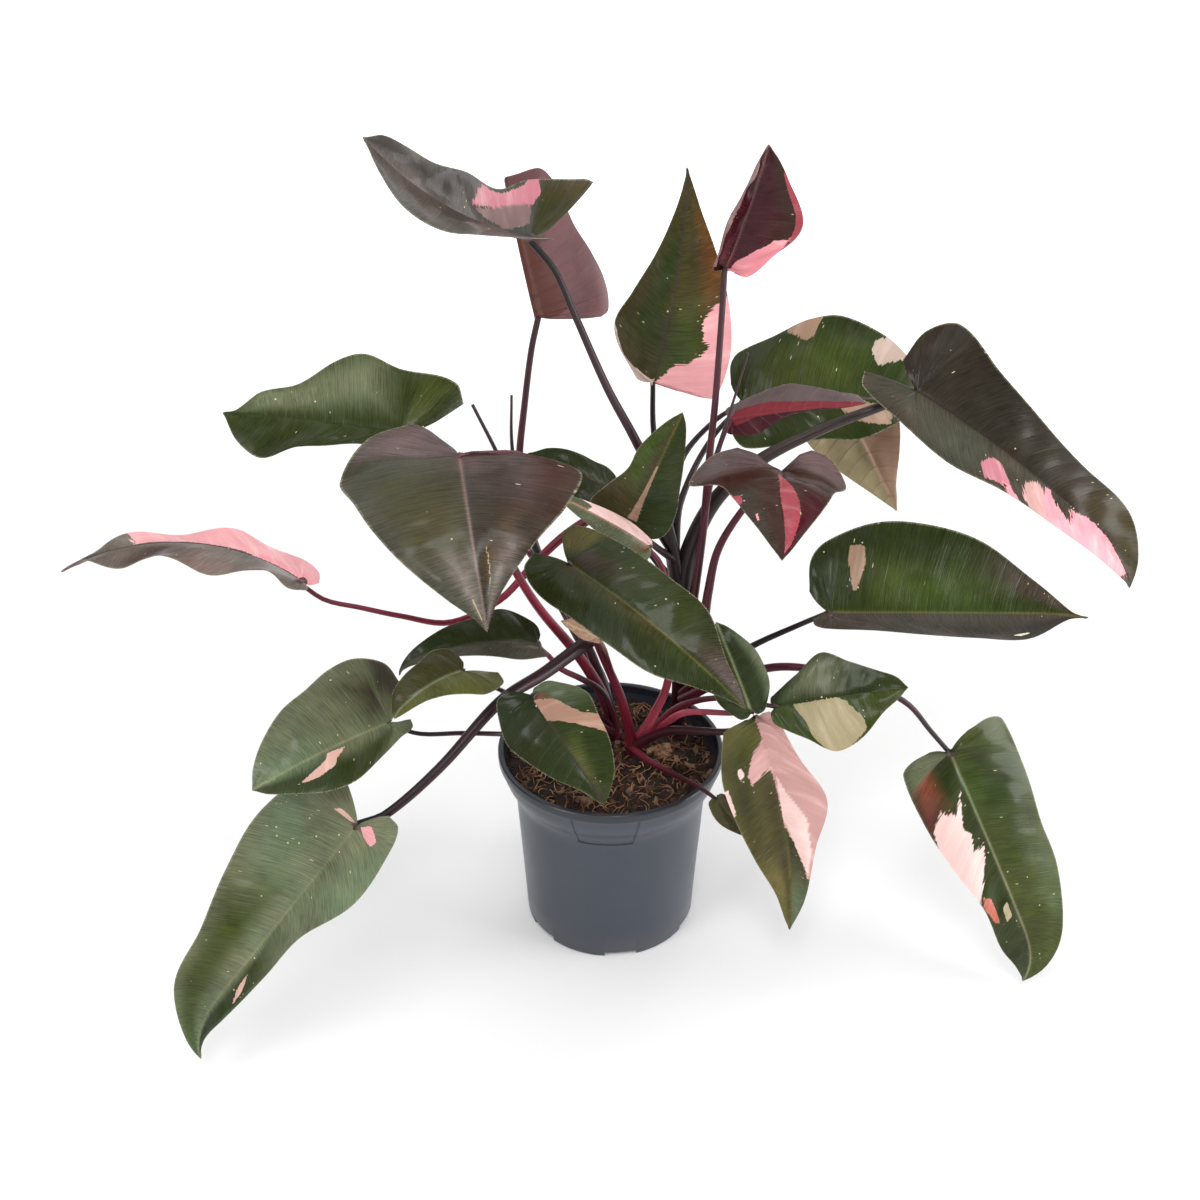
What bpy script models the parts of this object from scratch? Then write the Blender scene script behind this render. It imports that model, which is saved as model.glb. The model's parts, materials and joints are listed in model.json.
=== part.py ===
"""Pink princess philodendron in its nursery pot, built as separate solids.

Metres, +Z up. The origin is the middle of the pot's foot, on the surface that it stands on, and the plant
shows its front towards -Y. The tables below hold millimetres and degrees.
"""
from math import cos, pi, radians, sin, sqrt

import bmesh
import bpy
from mathutils import Matrix, Vector

MM = 0.001
GAP = 0.3                 # clearance between neighbouring pieces
SEAT_GAP = 0.5            # clearance between a blade's base and its stalk

# The pot: a thin injection-moulded nursery pot with a lipped rim and a collar that flares up to it.
POT_HEIGHT = 155.0
RIM_RADIUS = 85.5
FOOT_RADIUS = 66.5
WALL = 2.3
LIP_HEIGHT = 7.0
FOOT_RING = 5.5           # height of the ring that lifts the floor
FLOOR_THICK = 2.0
PAD_RADIUS = 14.0         # flat middle pad, which also reaches the surface
SEGMENTS = 36             # sides of the pot and of the soil
DRAIN_HOLES = 6
DRAIN_RADIUS = 5.0
DRAIN_CIRCLE = 38.0
NOTCHES = 6
NOTCH_WIDTH = 25.0
NOTCH_HEIGHT = 4.6
NOTCH_FIRST = -83.0       # degrees, the one that shows in front
PANEL_CENTRE = -93.0      # degrees, the blank panel in the collar
PANEL_TOP, PANEL_BOTTOM = 146.5, 118.0
PANEL_HALF_TOP, PANEL_HALF_BOTTOM = 25.0, 20.0
PANEL_DEPTH = 0.8

# The soil: coir and peat to just under the rim, with a plain hole for each stem.
SOIL_TOP = 142.5
SOIL_BUMP = 1.0
SOIL_RINGS = 5
HOLE_PLAY = 0.5           # clearance of a stem in its hole
STEM_BOTTOM = 120.0

# A blade is a sheet on a midrib that runs from its base, where the petiole joins, to its tip.
BLADE_THICK = 0.9
MIDRIB_STEPS = 40
LATE = 0.72               # share of the length after which hook and swayhook act
STATIONS = (0.0, 0.2, 0.4, 0.6, 0.8, 0.93)
DIP_SHARE = 0.15
LOBE_SHARE = 0.10
STALK_SIDES = 6
STALK_PITCH = 28.0        # length of stalk to one ring of faces

# Finishes: colour and roughness.
FINISH = {
    "slate": ((0.115, 0.135, 0.165), 0.42),
    "peat": ((0.030, 0.017, 0.010), 0.95),
    "stalk_dark": ((0.030, 0.010, 0.014), 0.35),
    "stalk_red": ((0.170, 0.018, 0.032), 0.35),
    "green": ((0.045, 0.085, 0.022), 0.35),
    "olive": ((0.075, 0.085, 0.025), 0.40),
    "grey_green": ((0.060, 0.075, 0.050), 0.35),
    "bronze": ((0.045, 0.035, 0.020), 0.35),
    "maroon": ((0.070, 0.022, 0.022), 0.35),
    "mauve": ((0.170, 0.090, 0.095), 0.45),
    "pink": ((0.620, 0.260, 0.270), 0.45),
    "tan": ((0.380, 0.240, 0.160), 0.50),
}

# Each leaf: where its base and tip are, the way its upper face looks, how its midrib bends (droop, hook near
# the tip, sway and swayhook sideways, twist), and its two halves. A half is the reach of its lobe behind the
# base, how far the lobe's inner end is from the midrib, and its width at the six stations. fold tilts a half
# up from the midrib, arch curls its edge down, dip lowers its lobe, and wave ripples its edge.
LEAVES = {
    "leaf_top_left": dict(
        base=(-51, 10, 541), tip=(-141, -50, 615), faces=(0, -0.2, 1), droop=-40, twist=-45,
        right=(42, 32, 38, 25, 25, 18, 14, 9), left=(8, 10, 24, 30, 37, 44, 37, 18),
        fold=(35, 25), arch=(-10, 10), dip=(-14, 0), finish="grey_green"),
    "leaf_rolled_mauve": dict(
        base=(-51, 75, 467), tip=(-68, 52, 568), faces=(-0.25, 1, 0.3), droop=45,
        right=(3, 4, 6, 8, 9, 9, 8, 5), left=(16, 56, 82, 65, 49, 41, 33, 23),
        fold=(65, 12), arch=(-60, -62), faces_across=4, finish="mauve"),
    "leaf_upright_back": dict(
        base=(29, 60, 425), tip=(50, 85, 566), faces=(0, -1, 0.3), droop=12, sway=-15,
        right=(1, 20, 46, 48, 40, 27, 12, 4), left=(2, 6, 13, 41, 30, 17, 7, 2),
        fold=(5, 5), arch=(20, 60), faces_across=4, finish="olive"),
    "leaf_cupped_young": dict(
        base=(72, 10, 522), tip=(92, -10, 602), faces=(0.4, -0.85, 0.2), droop=10,
        right=(2, 6, 14, 24, 32, 34, 18, 7), left=(1, 4, 12, 21, 21, 16, 8, 3),
        fold=(25, 15), arch=(-40, -30), wave=(1.5, 1.5), waves=2.5, finish="maroon"),
    "leaf_back_right": dict(
        base=(98, 110, 389), tip=(239, 130, 382), faces=(0, -1, 0.8), droop=20,
        right=(10, 12, 36, 34, 31, 32, 20, 9), left=(8, 14, 40, 52, 66, 71, 54, 26),
        fold=(5, 5), arch=(10, 30), wave=(2.0, 3.0), finish="green"),
    "leaf_back_right_under": dict(
        base=(178, 165, 372), tip=(227, 130, 288), faces=(0.1, 1, -0.3), droop=5,
        right=(10, 10, 32, 36, 33, 23, 10, 4), left=(10, 10, 36, 38, 32, 22, 11, 4),
        fold=(5, 5), arch=(20, 20), finish="tan"),
    "leaf_far_right_dark": dict(
        base=(210, 40, 426), tip=(364, -10, 299), faces=(0.2, -0.8, 1), droop=28, swayhook=30,
        right=(38, 10, 30, 34, 28, 24, 15, 8), left=(20, 14, 62, 44, 35, 30, 28, 14),
        fold=(12, 15), arch=(25, 15), wave=(2.0, 2.0), finish="bronze"),
    "leaf_centre_maroon": dict(
        base=(112, -20, 394), tip=(105, -100, 371), faces=(0, -0.3, 1), droop=45,
        right=(14, 30, 64, 42, 33, 24, 13, 5), left=(14, 20, 46, 36, 30, 22, 12, 5),
        fold=(5, 5), arch=(40, 40), dip=(-12, -12), finish="maroon"),
    "leaf_right_glossy": dict(
        base=(149, -40, 297), tip=(331, -30, 286), faces=(0, -1, 0.8), swayhook=10,
        right=(10, 6, 16, 18, 22, 26, 28, 4), left=(14, 14, 50, 64, 62, 50, 22, 3),
        fold=(-45, 10), arch=(20, 25), wave=(2.0, 2.0), waves=1.6, finish="green"),
    "leaf_right_small": dict(
        base=(112, -75, 243), tip=(199, -80, 262), faces=(0, -1, 0.9), droop=15,
        right=(4, 4, 14, 25, 36, 30, 14, 6), left=(3, 3, 8, 20, 32, 23, 14, 8),
        fold=(5, 5), arch=(15, 15), faces_along=9, finish="green"),
    "leaf_low_right": dict(
        base=(241, -60, 192), tip=(310, -100, 9), faces=(0.1, -1, 0.5), droop=10, hook=15, swayhook=40,
        right=(8, 14, 38, 38, 32, 23, 21, 10), left=(10, 18, 50, 50, 45, 45, 30, 13),
        fold=(10, 10), arch=(30, 45), wave=(2.0, 2.0), finish="green"),
    "leaf_centre_front": dict(
        base=(-28, -56, 344), tip=(85, -126, 277), faces=(0, -0.6, 1), droop=30,
        right=(24, 8, 31, 31, 30, 27, 13, 4), left=(18, 14, 29, 32, 32, 31, 14, 6),
        fold=(15, 18), arch=(35, 20), finish="green"),
    "leaf_front_right_pink": dict(
        base=(100, -70, 229), tip=(131, -100, 61), faces=(0.1, -1, 0.3), droop=15, sway=20,
        right=(3, 8, 26, 37, 35, 26, 12, 5), left=(3, 6, 13, 20, 32, 20, 11, 4),
        fold=(20, 25), arch=(40, 30), wave=(2.0, 2.0), finish="pink"),
    "leaf_tiny_right": dict(
        base=(74, -85, 170), tip=(96, -80, 134), faces=(0, -1, 0.5), droop=20,
        right=(3, 3, 7, 9, 9, 7, 4, 2), left=(3, 3, 7, 9, 9, 7, 4, 2), faces_along=9, finish="olive"),
    "leaf_behind_centre": dict(
        base=(95, -80, 242), tip=(71, -50, 295), faces=(0.1, -1, 0.5), droop=20,
        right=(3, 4, 11, 19, 20, 18, 11, 5), left=(3, 4, 11, 19, 20, 18, 11, 5),
        fold=(5, 5), faces_along=9, finish="green"),
    "leaf_centre_upright": dict(
        base=(14, -5, 350), tip=(47, 5, 425), faces=(0, -1, 0.3), droop=10,
        right=(8, 8, 26, 26, 21, 16, 10, 5), left=(6, 10, 32, 26, 18, 17, 11, 5),
        fold=(10, 10), faces_along=9, finish="olive"),
    "leaf_centre_edge": dict(
        base=(26, -18, 336), tip=(-36, -31, 381), faces=(0, -0.25, 1), droop=10,
        right=(2, 3, 8, 14, 13, 10, 7, 4), left=(4, 5, 12, 14, 12, 9, 6, 3),
        fold=(10, -45), faces_along=9, finish="pink"),
    "leaf_back_small": dict(
        base=(-4, 60, 342), tip=(-59, 40, 379), faces=(0, -0.8, 1), droop=25,
        right=(10, 8, 18, 16, 16, 14, 9, 3), left=(8, 8, 20, 21, 20, 12, 8, 2),
        arch=(40, 30), faces_along=9, finish="green"),
    "leaf_left_shield": dict(
        base=(-95, -70, 428), tip=(-75, -155, 353), faces=(0, -0.7, 1), droop=60,
        right=(48, 26, 76, 68, 58, 43, 22, 6), left=(0, 8, 14, 72, 62, 37, 14, 4),
        fold=(5, 5), arch=(20, 20), dip=(4, 0), finish="bronze"),
    "leaf_left_upper": dict(
        base=(-141, 0, 413), tip=(-246, -40, 444), faces=(0, -0.5, 1), droop=10, twist=-15,
        right=(46, 28, 48, 50, 40, 24, 14, 2), left=(8, 8, 16, 16, 17, 20, 30, 18),
        fold=(25, 5), arch=(10, 25), wave=(3.0, 2.0), waves=2.5, finish="grey_green"),
    "leaf_far_left_pink": dict(
        base=(-209, -40, 321), tip=(-357, -70, 346), faces=(0, 0.1, 1), droop=70,
        right=(14, 16, 34, 36, 24, 16, 14, 6), left=(4, 6, 10, 30, 38, 34, 20, 6),
        fold=(5, 5), arch=(10, 10), wave=(3.0, 5.0), waves=3.0, finish="pink"),
    "leaf_left_tailed": dict(
        base=(-51, -40, 271), tip=(-143, -75, 269), faces=(0, -0.5, 1), droop=60, hook=60,
        right=(4, 8, 18, 27, 20, 16, 8, 2), left=(4, 8, 12, 16, 12, 8, 5, 2), faces_along=9,
        finish="grey_green"),
    "leaf_left_curled": dict(
        base=(-98, -90, 282), tip=(-141, -120, 265), faces=(0, -0.5, 1), droop=75, hook=20,
        right=(4, 6, 20, 22, 18, 16, 12, 5), left=(26, 8, 24, 20, 14, 9, 6, 3), faces_along=9,
        finish="olive"),
    "leaf_left_lower": dict(
        base=(-149, -95, 244), tip=(-231, -150, 230), faces=(0, -0.6, 1), droop=20,
        right=(20, 22, 52, 51, 44, 38, 25, 12), left=(14, 4, 14, 22, 28, 26, 16, 8),
        fold=(15, 5), arch=(15, 20), finish="grey_green"),
    "leaf_low_left": dict(
        base=(-169, -140, 192), tip=(-286, -185, 22), faces=(-0.2, -1, 0.3), droop=10, swayhook=-45,
        right=(20, 24, 50, 57, 50, 38, 31, 11), left=(20, 12, 28, 32, 18, 16, 12, 4),
        fold=(8, 10), arch=(20, 30), wave=(2.0, 2.5), finish="green"),
    "leaf_front_over_pot": dict(
        base=(-53, -92, 263), tip=(-5, -125, 198), faces=(0, -1, 0.8), droop=20,
        right=(12, 12, 27, 32, 27, 19, 8, 3), left=(4, 4, 18, 32, 30, 27, 19, 8),
        arch=(25, 15), finish="green"),
    "leaf_centre_tan": dict(
        base=(-8, -40, 276), tip=(-34, -50, 296), faces=(0, -1, 0.8), droop=10,
        right=(2, 3, 9, 10, 9, 7, 5, 2), left=(1, 2, 4, 5, 6, 5, 3, 2), faces_along=9, finish="tan"),
    "leaf_narrow_red": dict(
        base=(79, 6, 421), tip=(172, 24, 424), faces=(0, 1, 0.1), sway=-8,
        right=(3, 4, 8, 15, 20, 15, 9, 6), left=(4, 6, 13, 15, 6, 3, 3, 2),
        fold=(8, 8), faces_along=9, finish="maroon"),
}
PLAIN_LEAF = dict(droop=0, hook=0, sway=0, swayhook=0, twist=0, fold=(15, 15), arch=(25, 25), dip=(0, 0),
                  wave=(0.0, 0.0), waves=2.0, faces_along=12, faces_across=3)

# Each stem node: its foot in the soil, then its stalks. A stalk has the leaf that it carries, if any, its
# radius at the root and at the end, and the places that it passes. A leaf's base ends its own stalk.
STEMS = {
    "stems_main": dict(foot=(50, 34), radius=7.5, finish="stalk_dark", stalks=(
        (None, 7.5, 5.5, ((50, 34, 146), (53, 33, 165), (54, 32, 183), (52, 32, 229), (49, 31, 273), (44, 28, 310))),
        ("leaf_top_left", 5.0, 2.2, ((51, 30, 274), (44, 26, 311), (30, 22, 367), (16, 20, 399), (-3, 18, 437),
                                     (-25, 14, 491), (-37, 12, 520))),
        ("leaf_upright_back", 4.0, 1.8, ((47, 30, 299), (38, 45, 340), (30, 58, 390))),
        ("leaf_cupped_young", 4.5, 2.0, ((54, 30, 190), (60, 18, 272), (65, 13, 340), (67, 13, 392), (69, 13, 428),
                                         (71, 15, 488))),
        ("leaf_narrow_red", 2.2, 1.3, ((65, 13, 340), (69, 7, 378), (73, 1, 404))),
        (None, 1.5, 0.8, ((66, 13, 372), (73, -4, 412), (80, -5, 440), (88, 2, 468))),
        ("leaf_back_right", 4.0, 1.8, ((47, 34, 297), (42, 60, 328), (54, 88, 355), (76, 106, 374))),
        ("leaf_back_right_under", 3.0, 1.5, ((47, 34, 297), (52, 66, 330), (84, 118, 366), (130, 155, 382),
                                             (160, 166, 380))),
        ("leaf_far_right_dark", 8.0, 3.2, ((51, 30, 265), (57, 32, 306), (74, 33, 346), (104, 35, 376),
                                           (145, 38, 398), (182, 40, 413))),
        ("leaf_centre_maroon", 5.0, 2.2, ((55, 28, 195), (66, 14, 240), (70, 10, 284), (75, 6, 320), (89, -4, 356),
                                          (103, -14, 381))),
        ("leaf_right_glossy", 4.0, 1.8, ((55, 26, 185), (77, 5, 222), (104, -20, 259), (130, -34, 283))),
        ("leaf_low_right", 4.5, 1.8, ((55, 24, 180), (80, -5, 216), (111, -38, 250), (131, -48, 257),
                                      (165, -56, 255), (204, -60, 236), (226, -58, 209))),
        ("leaf_centre_upright", 3.0, 2.0, ((46, 26, 301), (31, 12, 320), (20, 0, 337))),
        ("leaf_back_small", 3.5, 1.6, ((50, 34, 272), (29, 50, 294), (8, 61, 318))),
        ("leaf_far_left_pink", 4.5, 1.6, ((44, 26, 311), (27, 22, 336), (-1, 15, 346), (-29, 4, 336),
                                          (-53, -10, 319), (-78, -22, 296), (-112, -34, 285), (-145, -40, 294),
                                          (-172, -42, 302), (-195, -42, 308))),
        ("leaf_low_left", 7.0, 3.0, ((48, 28, 268), (28, 10, 277), (6, -2, 266), (-15, -14, 258), (-46, -45, 251),
                                     (-76, -80, 250), (-115, -115, 221), (-150, -134, 197))),
    )),
    "stems_front": dict(foot=(17, 6), radius=5.5, finish="stalk_red", stalks=(
        ("leaf_centre_front", 4.5, 2.2, ((16, 6, 150), (14, 5, 166), (8, 0, 196), (2, -6, 218), (-11, -28, 267),
                                         (-20, -43, 308), (-26, -53, 330))),
        ("leaf_centre_tan", 1.8, 1.2, ((2, -8, 222), (-2, -20, 245), (-5, -33, 264))),
        ("leaf_centre_edge", 4.0, 1.8, ((18, 7, 150), (23, 9, 157), (32, 12, 173), (42, 14, 198), (45, 11, 240),
                                        (41, 2, 288), (34, -7, 317))),
        ("leaf_right_small", 4.0, 1.6, ((18, 6, 150), (30, 2, 163), (45, -8, 191), (58, -20, 208), (72, -38, 224),
                                        (85, -56, 236), (99, -70, 242))),
        ("leaf_behind_centre", 4.0, 1.8, ((18, 6, 150), (28, 4, 162), (41, -6, 180), (53, -22, 200),
                                          (66, -42, 215), (84, -66, 231))),
        ("leaf_front_right_pink", 4.5, 2.2, ((18, 4, 150), (30, 0, 162), (46, -12, 177), (65, -32, 191),
                                             (83, -52, 205), (93, -62, 217))),
        ("leaf_tiny_right", 3.0, 1.5, ((16, 4, 150), (26, -11, 150), (45, -34, 154), (63, -60, 162))),
    )),
    "stems_left": dict(foot=(3, 27), radius=6.0, finish="stalk_dark", stalks=(
        ("leaf_rolled_mauve", 5.0, 2.2, ((3, 27, 150), (-2, 30, 172), (-8, 34, 195), (-27, 36, 235), (-49, 42, 284),
                                         (-65, 50, 338), (-66, 56, 367), (-62, 64, 402), (-56, 71, 444))),
        ("leaf_left_shield", 5.0, 2.4, ((3, 26, 150), (0, 23, 166), (-8, 20, 192), (-24, 6, 232), (-50, -20, 287),
                                        (-65, -42, 331), (-79, -56, 376), (-89, -65, 409))),
        ("leaf_left_upper", 4.5, 2.0, ((3, 26, 150), (0, 25, 170), (-16, 26, 224), (-37, 24, 269), (-65, 18, 322),
                                       (-98, 8, 366), (-123, 3, 396))),
        (None, 3.4, 1.2, ((-49, 42, 284), (-63, 38, 328), (-78, 34, 377), (-95, 30, 420))),
        (None, 3.0, 0.9, ((-58, 46, 315), (-66, 44, 345), (-70, 43, 385), (-69, 42, 422))),
        ("leaf_left_tailed", 3.5, 1.8, ((3, 25, 150), (0, 16, 175), (-8, 6, 201), (-23, -6, 220), (-36, -14, 233),
                                        (-45, -26, 253))),
        ("leaf_left_curled", 3.0, 1.5, ((2, 25, 150), (-3, 14, 166), (-19, 0, 189), (-44, -25, 212), (-65, -45, 229),
                                        (-78, -60, 247), (-89, -77, 266))),
        ("leaf_left_lower", 3.0, 1.5, ((2, 24, 150), (-2, 12, 158), (-16, -8, 168), (-44, -45, 196), (-77, -74, 219),
                                       (-103, -84, 227), (-131, -90, 231))),
        ("leaf_front_over_pot", 3.5, 1.8, ((2, 24, 150), (0, 10, 160), (-8, -10, 180), (-26, -50, 221),
                                           (-43, -78, 248))),
    )),
}


def clear_scene():
    for thing in list(bpy.data.objects):
        bpy.data.objects.remove(thing)


def material(name):
    """A Principled finish, made once and shared by what has it."""
    found = bpy.data.materials.get(name)
    if found:
        return found
    colour, roughness = FINISH[name]
    made = bpy.data.materials.new(name)
    made.use_nodes = True
    shader = made.node_tree.nodes["Principled BSDF"]
    shader.inputs["Base Color"].default_value = (*colour, 1.0)
    shader.inputs["Roughness"].default_value = roughness
    shader.inputs["Metallic"].default_value = 0.0
    return made


def add_object(name, mesh, finish=None, matrix=None):
    thing = bpy.data.objects.new(name, mesh)
    bpy.context.scene.collection.objects.link(thing)
    if finish:
        mesh.materials.append(material(finish))
    if matrix:
        thing.matrix_world = matrix
    return thing


def mesh_from(bm, name, smooth_angle=None):
    """Turn a bmesh in millimetres into a mesh in metres."""
    bmesh.ops.scale(bm, vec=(MM, MM, MM), verts=bm.verts)
    mesh = bpy.data.meshes.new(name)
    bm.to_mesh(mesh)
    bm.free()
    if smooth_angle:
        mesh.shade_smooth()
        mesh.set_sharp_from_angle(angle=radians(smooth_angle))
    return mesh


def smooth_point(points, share):
    """The point at a share of the chord length of a smooth curve through the points."""
    steps = [(b - a).length for a, b in zip(points, points[1:])]
    marks = [sum(steps[:i]) / sum(steps) for i in range(len(points))]
    marks[-1] = 1.0
    i = 0
    while i < len(points) - 2 and share >= marks[i + 1]:
        i += 1

    def slope(k):
        a, b = max(k - 1, 0), min(k + 1, len(points) - 1)
        return (points[b] - points[a]) / (marks[b] - marks[a])
    span = marks[i + 1] - marks[i]
    s = (share - marks[i]) / span
    return ((2 * s**3 - 3 * s**2 + 1) * points[i] + (s**3 - 2 * s**2 + s) * span * slope(i)
            + (3 * s**2 - 2 * s**3) * points[i + 1] + (s**3 - s**2) * span * slope(i + 1))


def midrib(leaf):
    """Frames (point, along, across, up) on a midrib of length 1 that leaves along +Y, face to +Z."""
    point, along, across, up = Vector((0, 0, 0)), Vector((0, 1, 0)), Vector((1, 0, 0)), Vector((0, 0, 1))
    frames = [(point, along, across, up)]
    for step in range(MIDRIB_STEPS):
        late = 2 * max(0.0, (step + 0.5) / MIDRIB_STEPS - LATE) / (1 - LATE)**2
        turn = Matrix.Rotation(-radians(leaf["droop"] + leaf["hook"] * late) / MIDRIB_STEPS, 3, across)
        along, up = turn @ along, turn @ up
        turn = Matrix.Rotation(-radians(leaf["sway"] + leaf["swayhook"] * late) / MIDRIB_STEPS, 3, up)
        along, across = turn @ along, turn @ across
        turn = Matrix.Rotation(radians(leaf["twist"]) / MIDRIB_STEPS, 3, along)
        across, up = turn @ across, turn @ up
        point = point + along / MIDRIB_STEPS
        frames.append((point, along, across, up))
    return frames


def turned_to(forward, upward):
    """Axes (across, forward, up) as columns, with forward kept and up as near upward as it can be."""
    forward = forward.normalized()
    up = (upward - forward * upward.dot(forward)).normalized()
    return Matrix((forward.cross(up), forward, up)).transposed()


def place_leaf(leaf):
    """The midrib's frames, its length, and the matrix that carries its ends to the leaf's base and tip."""
    frames = midrib(leaf)
    base, tip, end = Vector(leaf["base"]), Vector(leaf["tip"]), frames[-1][0]
    turn = turned_to(tip - base, Vector(leaf["faces"])) @ turned_to(end, Vector((0, 0, 1))).transposed()
    return frames, (tip - base).length / end.length, Matrix.Translation(base * MM) @ turn.to_4x4()


def blade_point(leaf, frames, length, side, x, y, ripple):
    """A point of the blade: x across its own surface on side 0 (right) or 1 (left), y along the midrib."""
    share = y / length
    if share < 0:
        point, along, across, up = frames[0]
        centre = along * y
    else:
        place = min(share, 1.0) * MIDRIB_STEPS
        i = min(int(place), MIDRIB_STEPS - 1)
        a, b = frames[i], frames[i + 1]
        centre = a[0].lerp(b[0], place - i) * length
        across, up = a[2].lerp(b[2], place - i), a[3].lerp(b[3], place - i)
    half = (leaf["right"], leaf["left"])[side]
    fold = radians(leaf["fold"][side])
    curl = radians(leaf["arch"][side]) / max(half[2:])
    if abs(curl) < 1e-6:
        out, rise = x * cos(fold), x * sin(fold)
    else:
        out, rise = (sin(fold) - sin(fold - curl * x)) / curl, (cos(fold - curl * x) - cos(fold)) / curl
    dip_from = DIP_SHARE * length
    if y < dip_from:
        lowered = ((dip_from - y) / (dip_from + max(half[0], 1)))**2
        rise -= leaf["dip"][side] * lowered * min(1.0, 4 * x / max(half[2:]))
    return centre + across * (out, -out)[side] + up * (rise + ripple)


def half_outline(leaf, length, side):
    """The margin of one half, from the inner end of its lobe round to the tip."""
    half = (leaf["right"], leaf["left"])[side]
    back, inner, widths = half[0], half[1], half[2:]
    outline = [Vector((inner, -back)), Vector((inner + 0.62 * (widths[0] - inner), -0.86 * back))]
    outline += [Vector((width, station * length)) for width, station in zip(widths, STATIONS)]
    return outline + [Vector((0, length))]


def blade_grid(leaf, frames, length, side, lengthwise, crosswise):
    """Rows of points from the midrib out to the margin, from the sinus of the lobe round to the tip."""
    outlines = [half_outline(leaf, length, each) for each in (0, 1)]
    lobe_end = sum(next(i for i in range(101) if smooth_point(each, i / 100).y > LOBE_SHARE * length)
                   for each in outlines) / 200
    outline = outlines[side]
    grid = []
    for row in range(lengthwise + 1):
        p = row / lengthwise
        edge = smooth_point(outline, p)
        root = length * max(0.0, (p - lobe_end) / (1 - lobe_end))**1.1
        late = min(1.0, p / max(lobe_end, 0.05))
        ripple = leaf["wave"][side] * sin(2 * pi * (leaf["waves"] * p + 0.5 * side)) * min(1.0, (1 - p) / 0.15)
        line = []
        for column in range(crosswise + 1):
            q = column / crosswise
            x = edge.x * q**(1.3 - 0.3 * late)
            y = root + (edge.y - root) * q**(0.9 + 0.6 * late)
            line.append(blade_point(leaf, frames, length, side, x, y, ripple * q * q))
        grid.append(line)
    return grid


def add_blade(name, leaf):
    """One leaf blade: a triangulated sheet for both halves, given its thickness by a Solidify modifier."""
    frames, length, matrix = place_leaf(leaf)
    lengthwise, crosswise = leaf["faces_along"], leaf["faces_across"]
    bm = bmesh.new()
    for side in (0, 1):
        grid = blade_grid(leaf, frames, length, side, lengthwise, crosswise)
        verts = [[bm.verts.new(point) for point in line] for line in grid]
        for row in range(lengthwise):
            for column in range(crosswise):
                corners = (verts[row][column], verts[row][column + 1],
                           verts[row + 1][column + 1], verts[row + 1][column])
                bm.faces.new(corners if side == 0 else corners[::-1])
    bmesh.ops.remove_doubles(bm, verts=bm.verts, dist=0.05)
    bmesh.ops.triangulate(bm, faces=bm.faces)
    blade = add_object(name, mesh_from(bm, name, 60), leaf["finish"], matrix)
    wall = blade.modifiers.new("thickness", "SOLIDIFY")
    wall.thickness = BLADE_THICK * MM
    wall.offset = 0.0
    split = blade.modifiers.new("triangles", "TRIANGULATE")
    split.min_vertices = 4
    return blade


def stalk_end(leaf, radius, before):
    """Where a leaf's stalk stops: under the blade's base, just clear of it."""
    frames, _, matrix = place_leaf(leaf)
    up = matrix.to_3x3() @ frames[0][3]
    base = Vector(leaf["base"])
    lean = (base - Vector(before)).normalized().dot(up)
    drop = BLADE_THICK / 2 + SEAT_GAP + radius * sqrt(max(0.0, 1 - lean * lean))
    return base - up * drop / cos(radians(min(0, *leaf["fold"])))


def stalk_mesh(name, root, end, route):
    """A round tapering stalk along a smooth curve, widest where it sheathes the stem."""
    total = sum((b - a).length for a, b in zip(route, route[1:]))
    rings = max(5, round(total / STALK_PITCH))
    centres = [smooth_point(route, i / rings) for i in range(rings + 1)]
    bm = bmesh.new()
    side = Vector((1, 0, 0))
    loops = []
    for i, centre in enumerate(centres):
        ahead = (centres[min(i + 1, rings)] - centres[max(i - 1, 0)]).normalized()
        side = (side - ahead * side.dot(ahead)).normalized()
        other = ahead.cross(side)
        radius = end + (root - end) * (1 - i / rings)**1.6
        loop = []
        for k in range(STALK_SIDES):
            angle = 2 * pi * k / STALK_SIDES
            loop.append(bm.verts.new(centre + radius * (side * cos(angle) + other * sin(angle))))
        loops.append(loop)
    for near, far in zip(loops, loops[1:]):
        for k in range(STALK_SIDES):
            after = (k + 1) % STALK_SIDES
            bm.faces.new((near[k], near[after], far[after], far[k]))
    bm.faces.new(loops[0][::-1])
    bm.faces.new(loops[-1])
    return mesh_from(bm, name, 60)


def face_shells(bm):
    """Groups of faces that hang together by their edges."""
    shells, seen = [], set()
    for first in bm.faces:
        if first in seen:
            continue
        shell, waiting = [], [first]
        seen.add(first)
        while waiting:
            face = waiting.pop()
            shell.append(face)
            for edge in face.edges:
                for other in edge.link_faces:
                    if other not in seen:
                        seen.add(other)
                        waiting.append(other)
        shells.append(shell)
    return shells


def fuse(body, others):
    """Join the others to the body with one Boolean union, apply it, and fill the hollows that it seals."""
    group = bpy.data.collections.new(body.name + "_parts")
    for other in others:
        group.objects.link(other)
    union = body.modifiers.new("union", "BOOLEAN")
    union.operation = "UNION"
    union.solver = "EXACT"
    union.operand_type = "COLLECTION"
    union.collection = group
    depsgraph = bpy.context.evaluated_depsgraph_get()
    joined = bpy.data.meshes.new_from_object(body.evaluated_get(depsgraph))
    body.modifiers.clear()
    body.data = joined
    for other in others:
        bpy.data.objects.remove(other)
    bpy.data.collections.remove(group)
    bm = bmesh.new()
    bm.from_mesh(joined)
    bmesh.ops.remove_doubles(bm, verts=bm.verts, dist=0.005 * MM)
    shells = face_shells(bm)
    inner = [face for shell in sorted(shells, key=len)[:-1] for face in shell]
    bmesh.ops.delete(bm, geom=inner, context="FACES")
    bmesh.ops.triangulate(bm, faces=bm.faces)
    bm.to_mesh(joined)
    bm.free()


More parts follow.
